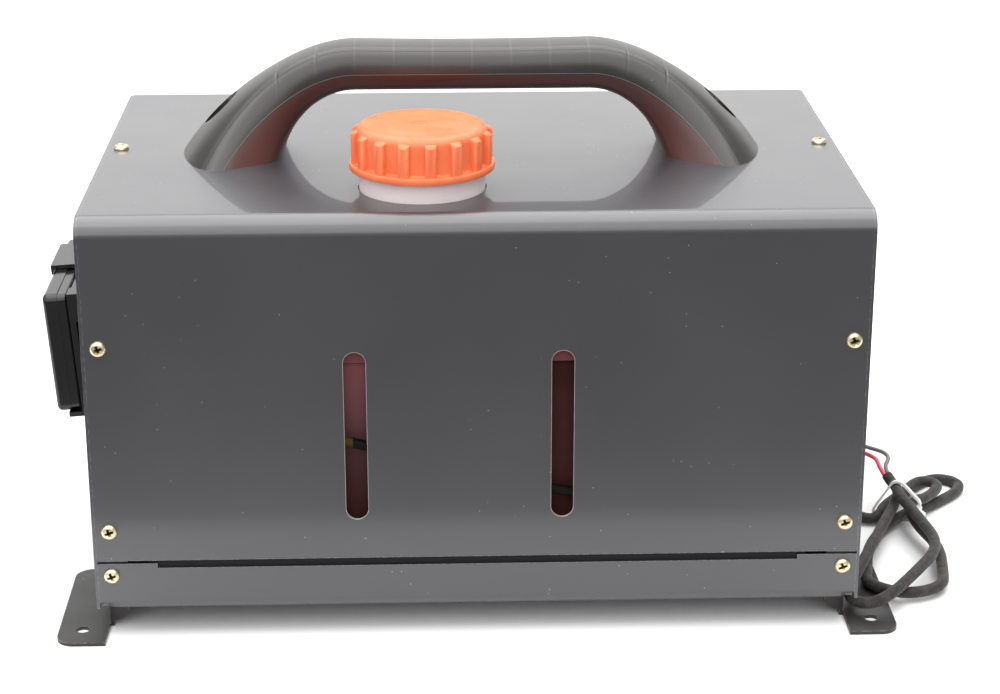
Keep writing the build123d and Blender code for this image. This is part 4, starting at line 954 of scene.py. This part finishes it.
for side in (-1, 1):
    hole = [(0, -handle_cut), (handle_bolt_radius, -handle_cut), (handle_bolt_radius, 0)]
    hole += [(handle_recess_radius, 0), (handle_recess_radius, 2 * handle_cut), (0, 2 * handle_cut)]
    cutter = lathe("bolt_recess", hole, (side * handle_screw_x, 0, handle_recess_floor), 48)
    handle_body = carved(handle_body, cutter)
smoothed(handle_body, 50)

handle_grey, tree, shader = grained(
    "handle_grey", (0.020, 0.018, 0.017), (0.032, 0.028, 0.026), 0.34, grain=900.0, depth=0.00005,
    patch=45.0, contrast=1.4, ior=1.65,
)
worn(tree, shader, (0.16, 0.15, 0.15), radius=0.0010, scale=500.0, amount=0.25)
dusted(tree, shader, (0.22, 0.20, 0.19), scale=230.0, size=0.05, share=0.18)


def thin_line(tree, name, half_width, soft):
    """One where a stored distance is near zero, fading out over a soft edge."""
    return fade(tree, reckon(tree, "ABSOLUTE", stored_value(tree, name)), half_width + soft, half_width)


def under_grain(tree, shader, height, strength, distance):
    """Lays a larger relief under the grain that a finish has."""
    grain = shader.inputs["Normal"].links[0].from_node
    add_bump(tree, height, strength, distance, grain.inputs["Normal"])


# Below the parting line the skin is painted redder, a painted reflection of the orange cap. The line is a
# fine bright ridge, and the sink bands are paler and lie only on the crown.
line = thin_line(tree, "parting", *parting_line)
edge_line = thin_line(tree, "crown", *crown_line)
across = object_axes(tree)["X"]
sink = fade(tree, reckon(tree, "PINGPONG", across, sink_pitch / 2), sink_half_width, 0.0, smooth=True)
on_crown = fade(tree, stored_value(tree, "crown"), -crown_fade, 0.0)
on_grip = fade(tree, reckon(tree, "ABSOLUTE", across), sink_end, sink_end - sink_fade)
bands = reckon(tree, "MULTIPLY", reckon(tree, "MULTIPLY", sink, on_crown), on_grip)
# Painted reflection: the orange cap's red light on the handle's low side.
painted_cap_reflection = fade(tree, stored_value(tree, "parting"), 0.0, -cap_reflection_fade)
overlay(tree, shader, painted_cap_reflection, (0.070, 0.022, 0.018))
overlay(tree, shader, reckon(tree, "MULTIPLY", bands, sink_tint), (0.12, 0.11, 0.11))
overlay(tree, shader, reckon(tree, "MULTIPLY", line, line_tint), (0.20, 0.18, 0.17))
relief = reckon(tree, "SUBTRACT", reckon(tree, "ADD", line, edge_line), bands)
under_grain(tree, shader, relief, 0.6, line_relief)
handle = link_piece("carry_handle_moulding", handle_body, handle_grey)
fit(handle, "housing", "carry_handle")


# ---- Filler cap ----
# The screw cap is injection moulded in orange polyethylene: a thin lip, a wall with sixteen grip ribs,
# and a slightly dished top with the flow swirl of the moulding. A black seal lies inside it.
cap_centre = (-0.026, -0.0735, 0.229)
cap_wall_radius = 0.0323
cap_lip_radius = 0.036
cap_height = 0.022
cap_crown_radius = 0.0040
cap_inner_radius = 0.0285
cap_roof = 0.0032
rib_count = 16
rib_turn = 7.3
rib_width = 0.0056
rib_depth = 0.0027
rib_root = 0.0012
rib_round = 0.0013
# Steps of the cap's outline: out from the lip's and the wall's radius, and in and down over its top.
lip_steps = ((-0.0008, 0), (-0.0002, 0.0003), (0, 0.0010), (0, 0.0026), (-0.0003, 0.0033), (-0.0011, 0.0036))
wall_steps = ((0.0006, 0.0037), (0.0, 0.0043))
rim_steps_in = ((0.0014, 0.0002), (0.0030, 0.0006))
dish_steps = ((0.018, 0.0008), (0.009, 0.0007), (0.003, 0.0006), (0.0026, 0.0003), (0.0018, 0.0002))
rib_layers = ((0.0034, 1.0), (0.0180, 1.0), (0.0190, 0.72), (0.0196, 0.25))

cap_orange, tree, shader = grained(
    "cap_orange", (0.90, 0.160, 0.042), (0.96, 0.240, 0.105), 0.32, grain=900.0, depth=0.00006,
    patch=70.0, contrast=1.8, subsurface_weight=0.12, subsurface_scale=0.004,
)
worn(tree, shader, (0.95, 0.42, 0.24), radius=0.0009, scale=380.0, amount=0.75)
centre = add_node(tree, "ShaderNodeMapping", vector=object_place(tree))
centre.inputs["Location"].default_value = (-cap_centre[0], -cap_centre[1], 0)
swirl = add_node(
    tree, "ShaderNodeTexWave", wave_type="RINGS", rings_direction="Z", vector=centre.outputs["Vector"],
    scale=34.0, distortion=5.0, detail=3.0, detail_scale=60.0,
)
under_grain(tree, shader, swirl.outputs["Fac"], 0.5, 0.0003)

flat = cap_wall_radius - cap_crown_radius
roof = cap_height - cap_roof
profile = [(cap_inner_radius, 0.0)]
profile += [(cap_lip_radius + out, height) for out, height in lip_steps]
profile += [(cap_wall_radius + out, height) for out, height in wall_steps]
for index in range(9):
    turn = math.radians(90 * index / 8)
    out = cap_wall_radius - cap_crown_radius * (1 - math.cos(turn))
    profile.append((out, cap_height - cap_crown_radius * (1 - math.sin(turn))))
profile += [(flat - inward, cap_height - drop) for inward, drop in rim_steps_in]
profile += [(out, cap_height - drop) for out, drop in dish_steps] + [(0, cap_height - dish_steps[-1][1])]
profile += [(0, roof), (cap_inner_radius - 0.001, roof), (cap_inner_radius, roof - 0.001)]
cap_body = lathe("screw_cap", profile, cap_centre, 128)


def rib_shape():
    """One grip rib, rounded outside and sloped at its top, standing on the cap's wall."""
    build = bmesh.new()
    half = rib_width / 2
    outline = [(-rib_root, -half)]
    for step in range(-3, 4):
        turn = math.radians(30 * step)
        side = (step > 0) - (step < 0)
        out = rib_depth - rib_round * (1 - math.cos(turn))
        outline.append((out, (half - rib_round) * side + rib_round * math.sin(turn)))
    outline.append((-rib_root, half))
    layers = []
    for height, share in rib_layers:
        layer = [((x + rib_root) * share - rib_root, y, height) for x, y in outline]
        layers.append([build.verts.new(point) for point in layer])
    skin(build, layers)
    return finished_mesh("grip_rib", build, 45)


rib_places = []
for index in range(rib_count):
    spin = Matrix.Rotation(math.radians(rib_turn + 360 * index / rib_count), 4, "Z")
    rib_places.append(Matrix.Translation(cap_centre) @ spin @ Matrix.Translation((cap_wall_radius, 0, 0)))
ribs = set_out("cap_ribs", rib_shape(), rib_places, cap_orange)
fit(link_piece("screw_cap", cap_body, cap_orange), "filler_cap", "filler_cap")
fit(ribs, "filler_cap")

black_rubber = grained(
    "black_rubber", (0.014, 0.014, 0.014), (0.034, 0.033, 0.032), 0.62, grain=1500.0, depth=0.00004,
    patch=120.0,
)[0]
dress(black_rubber, "cap_gasket")


# ---- Fuel tank ----
# The tank is blow moulded in natural polyethylene, milky, with a pink tint that is painted reflected light
# from the orange cap. It hangs under the cover, and its threaded neck and its wide white collar come up
# through the cover's hole.
natural_white_with_painted_bounce, _, shader = grained(
    "natural_white_with_painted_bounce", (0.95, 0.78, 0.79), (0.98, 0.86, 0.87), 0.34, grain=500.0, depth=0.00008,
    patch=26.0, contrast=1.3, subsurface_weight=0.35, subsurface_scale=0.006,
)
shader.inputs["Subsurface Radius"].default_value = (1.0, 0.7, 0.55)
dress(natural_white_with_painted_bounce, "fuel_tank", sharp=28)


# ---- Heat shield ----
# A folded steel shelf under the tank, open at both ends, with a red-brown primer that is rubbed along its
# edges. It is what the two slots show in the photograph's shade.
# Its upper part, and a strip added over its top edge, carry a painted rosy light.
shield_front = -0.1178
shield_sheet = 0.0012
shield_top = 0.1425
shield_rim = 0.1535
shield_half = 0.166
rosy_light_low = 0.070
rosy_light_high = 0.152
rosy_light_power = 1.25
rosy_light_edge = -0.012
rosy_light_soft = 0.02

primer_with_painted_light, tree, shader = grained(
    "shield_primer_with_painted_light", (0.040, 0.0085, 0.0070), (0.062, 0.020, 0.022), 0.72, grain=700.0, depth=0.00006,
    patch=36.0, contrast=2.0, specular_ior_level=0.12,
)
# Painted light: upwards the primer turns paler and rosier with painted light on the left, and only along the
# rim on the right.
axes = object_axes(tree)
thin = fade(tree, axes["Z"], rosy_light_low, rosy_light_high)
left_part = fade(tree, axes["X"], rosy_light_edge + rosy_light_soft, rosy_light_edge)
left_painted_light = reckon(tree, "MULTIPLY", reckon(tree, "POWER", thin, rosy_light_power), left_part)
on_rim = fade(tree, axes["Z"], shield_top, shield_top + touching)
painted_rosy_light = mix_color(tree, thin, (0.17, 0.100, 0.125), (0.30, 0.100, 0.110))
overlay(tree, shader, reckon(tree, "MAXIMUM", left_painted_light, on_rim), painted_rosy_light)
worn(tree, shader, (0.30, 0.26, 0.25), radius=0.0008, scale=300.0, amount=0.4)
shield = dress(primer_with_painted_light, "heat_shield")
# A strip over the top edge, in front of the tank, carries the painted rosy light up to the slots' top.
build = bmesh.new()
build.from_mesh(shield.data)
rim_end = (shield_half, shield_front + shield_sheet, shield_rim)
add_block(build, (-shield_half, shield_front, shield_top), rim_end)
rimless = shield.data
shield.data = finished_mesh("heat_shield_finished", build, 30, False)
shield.data.materials.append(primer_with_painted_light)
bpy.data.meshes.remove(rimless)


# ---- Heater unit ----
# Inside lies the heater: a two-part black case round a ribbed aluminium exchanger, a steel burner with
# its glow plug, and a blower with a motor, one shaft and a wheel at each end.
case_black = grained(
    "case_black", (0.030, 0.030, 0.033), (0.055, 0.055, 0.058), 0.45, grain=1100.0, depth=0.00005, patch=50.0
)[0]
cast_aluminium = grained(
    "cast_aluminium", (0.50, 0.50, 0.51), (0.70, 0.70, 0.71), 0.48, grain=1300.0, depth=0.00012, patch=90.0,
    contrast=1.8, metallic=1.0,
)[0]
# Stainless steel that has been hot: straw to brown and blue in slow patches.
tinted_steel = grained(
    "tinted_steel", (0.46, 0.36, 0.24), (0.34, 0.33, 0.40), 0.30, grain=1600.0, depth=0.00001, patch=22.0,
    contrast=3.0, metallic=1.0,
)[0]
dress(case_black, "heater_upper_shell", "heater_lower_shell", "heating_fan", "control_unit")
dress(cast_aluminium, "heat_exchanger", "blower_housing", "combustion_fan")
dress(tinted_steel, "burner_tube", "glow_plug", "exhaust_pipe")
dress(plain_steel, "fan_motor", "motor_shaft", "fuel_pump", "pump_plunger")


# ---- Air paths ----
# Black polyamide ducts pass the end plates: warm air leaves on the left through a spigot for a 60 mm
# hose, cold air enters on the right, each behind a finger guard. A black pipe draws the burner's air.
black_nylon, tree, shader = grained(
    "black_nylon", (0.020, 0.020, 0.022), (0.042, 0.042, 0.044), 0.40, grain=1200.0, depth=0.00004,
    patch=60.0, contrast=1.5,
)
worn(tree, shader, (0.16, 0.16, 0.16), radius=0.0006, scale=600.0, amount=0.5)
dress(black_nylon, "hot_air_outlet", "outlet_guard", "air_inlet_duct", "air_inlet_guard")
dress(black_nylon, "combustion_air_pipe")


# ---- Fuel path ----
# A brass outlet on the tank, short rubber hoses, a clear filter, a pump in a rubber cradle, and a thin
# green nylon line that feeds the burner.
brass = grained(
    "turned_brass", (0.62, 0.44, 0.18), (0.78, 0.60, 0.30), 0.28, grain=2200.0, depth=0.00001, patch=200.0,
    metallic=1.0,
)[0]
dress(brass, "tank_outlet")
clear_plastic = grained(
    "filter_plastic", (0.70, 0.66, 0.52), (0.84, 0.82, 0.72), 0.22, grain=800.0, depth=0.00003, patch=80.0,
    transmission_weight=0.45,
)[0]
dress(clear_plastic, "fuel_filter")
green_nylon = grained(
    "green_nylon", (0.030, 0.085, 0.035), (0.060, 0.130, 0.060), 0.35, grain=1400.0, depth=0.00002, patch=90.0
)[0]
dress(green_nylon, "fuel_line")
dress(black_rubber, "tank_hose", "filter_hose", "pump_mount", "cable_grommet")


# ---- Controller cable ----
# The controller's black cable runs along the inside of the cover and crosses behind both slots. A turn
# of yellow tape marks it behind the left slot.
tape_from = -0.0665
tape_to = -0.0615
printed_edge = 0.0003

cable_black, tree, shader = grained(
    "cable_black", (0.0020, 0.0024, 0.0018), (0.0045, 0.0050, 0.0040), 0.6, grain=1500.0, depth=0.00003,
    patch=120.0, specular_ior_level=0.1,
)
tape_middle, half_tape = (tape_from + tape_to) / 2, (tape_to - tape_from) / 2
away = reckon(tree, "ABSOLUTE", reckon(tree, "SUBTRACT", object_axes(tree)["X"], tape_middle))
overlay(tree, shader, fade(tree, away, half_tape, half_tape - printed_edge), (0.055, 0.036, 0.003))
dress(cable_black, "controller_cable")


# ---- Controller ----
# A hand-sized wall controller of smooth black plastic stands in a clip-on cradle on the left end. A
# glossy window covers its dark display, and five soft round keys with plain signs lie below it.
panel_place = Matrix.Translation((-0.219, -0.0015, 0.124)) @ Matrix.Rotation(math.radians(-4), 4, "Y")
key_rise = 0.0012
key_drop = -0.019
key_pitch = 0.015
sign_root = 0.0001
sign_rise = 0.00012
sign_radius = 0.0022
sign_line = 0.0005
menu_pitch = 0.0013
menu_width = 0.0034
screen_middle = 0.009
screen_size = (0.050, 0.022)

panel_black, tree, shader = grained(
    "panel_black", (0.0035, 0.0033, 0.0034), (0.0062, 0.0058, 0.0060), 0.14, grain=600.0, depth=0.000008,
    patch=70.0, contrast=1.4,
)
worn(tree, shader, (0.10, 0.10, 0.10), radius=0.0005, scale=600.0, amount=0.3)
dress(panel_black, "controller_front", "controller_back", "controller_cradle")

# The window is clear over an unlit grey-green screen, with a black border printed round it.
display_glass, tree, shader = grained(
    "display_window", (0.075, 0.090, 0.072), (0.095, 0.112, 0.090), 0.10, grain=300.0, depth=0.000002,
    patch=40.0, coat_weight=1.0, coat_roughness=0.02,
)
axes = object_axes(tree)
screen_centre = panel_place @ Vector((0, 0, screen_middle))
sides = []
for axis, centre, size in (("Y", screen_centre.y, screen_size[0]), ("Z", screen_centre.z, screen_size[1])):
    away = reckon(tree, "ABSOLUTE", reckon(tree, "SUBTRACT", axes[axis], centre))
    sides.append(fade(tree, away, size / 2, size / 2 + printed_edge))
overlay(tree, shader, reckon(tree, "MAXIMUM", *sides), (0.005, 0.005, 0.006))
dress(display_glass, "display_lens")

key_grey = grained(
    "key_rubber", (0.045, 0.045, 0.048), (0.070, 0.070, 0.074), 0.58, grain=1700.0, depth=0.00003, patch=160.0
)[0]
sign_white = grained(
    "sign_white", (0.55, 0.55, 0.54), (0.66, 0.66, 0.65), 0.5, grain=1500.0, depth=0.00001, patch=300.0
)[0]


def open_ring(gap):
    """The outline of a thin ring that is open at its top by an angle to each side."""
    turns = [math.radians(gap + (360 - 2 * gap) * step / 24) for step in range(25)]
    outer = [(sign_radius * math.sin(turn), sign_radius * math.cos(turn)) for turn in turns]
    inner = sign_radius - sign_line
    return outer + [(inner * math.sin(turn), inner * math.cos(turn)) for turn in reversed(turns)]


def bar(level, width, height):
    """The outline of a bar, at a level above the key's middle."""
    return [(a * width / 2, level + b * height / 2) for a, b in ((-1, -1), (1, -1), (1, 1), (-1, 1))]


def arrow(up):
    """The outline of a triangle that points up or down."""
    return [(sign_radius * x, up * sign_radius * z) for x, z in ((-0.9, -0.6), (0.9, -0.6), (0, 0.9))]


signs = {
    "power_button": [open_ring(38), bar(sign_radius * 0.62, sign_line, sign_radius * 0.95)],
    "up_button": [arrow(1)],
    "set_button": [open_ring(2)],
    "down_button": [arrow(-1)],
    "mode_button": [bar(step * menu_pitch, menu_width, sign_line) for step in (-1, 0, 1)],
}
for order, (name, outlines) in enumerate(signs.items()):
    dress(key_grey, name)
    build = bmesh.new()
    middle = (order - 2) * key_pitch
    for outline in outlines:
        rings = []
        for depth in (-key_rise + sign_root, -key_rise - sign_rise):
            points = [Vector((depth, middle - x, key_drop + z)) for x, z in outline]
            rings.append([build.verts.new(panel_place @ point) for point in points])
        skin(build, rings)
    sign = link_piece(name + "_sign", finished_mesh(name + "_sign", build), sign_white)
    fit(sign, nodes[name]["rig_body"])

board_green = grained(
    "board_green", (0.012, 0.10, 0.045), (0.030, 0.18, 0.085), 0.35, grain=900.0, depth=0.00003, patch=240.0
)[0]
dress(board_green, "controller_board")
dress(zinc, "cradle_screws")


# ---- Cable tie ----
# A thin white nylon tie is pulled tight round the hank's waist, with its head on the side.
tie_head_place = (0.2462, -0.0042, 0.0095)
tie_head_size = (0.0042, 0.0040, 0.0048)
tie_tail = 0.011
tie_tail_half = (0.0006, 0.0014)
tie_rounding = 0.0005

dress(nylon, "cable_tie")
build = bmesh.new()
half = [size / 2 for size in tie_head_size]
thin, tall = tie_tail_half
add_block(build, [-size for size in half], half)
add_block(build, (-thin, half[1] * 0.6, -tall), (thin, half[1] + tie_tail, tall))
rounded(build, tie_rounding)
turn = Matrix.Rotation(math.radians(-38), 4, "Z") @ Matrix.Rotation(math.radians(-35), 4, "X")
build.transform(Matrix.Translation(tie_head_place) @ turn)
fit(link_piece("tie_head", finished_mesh("tie_head", build), nylon), "housing")
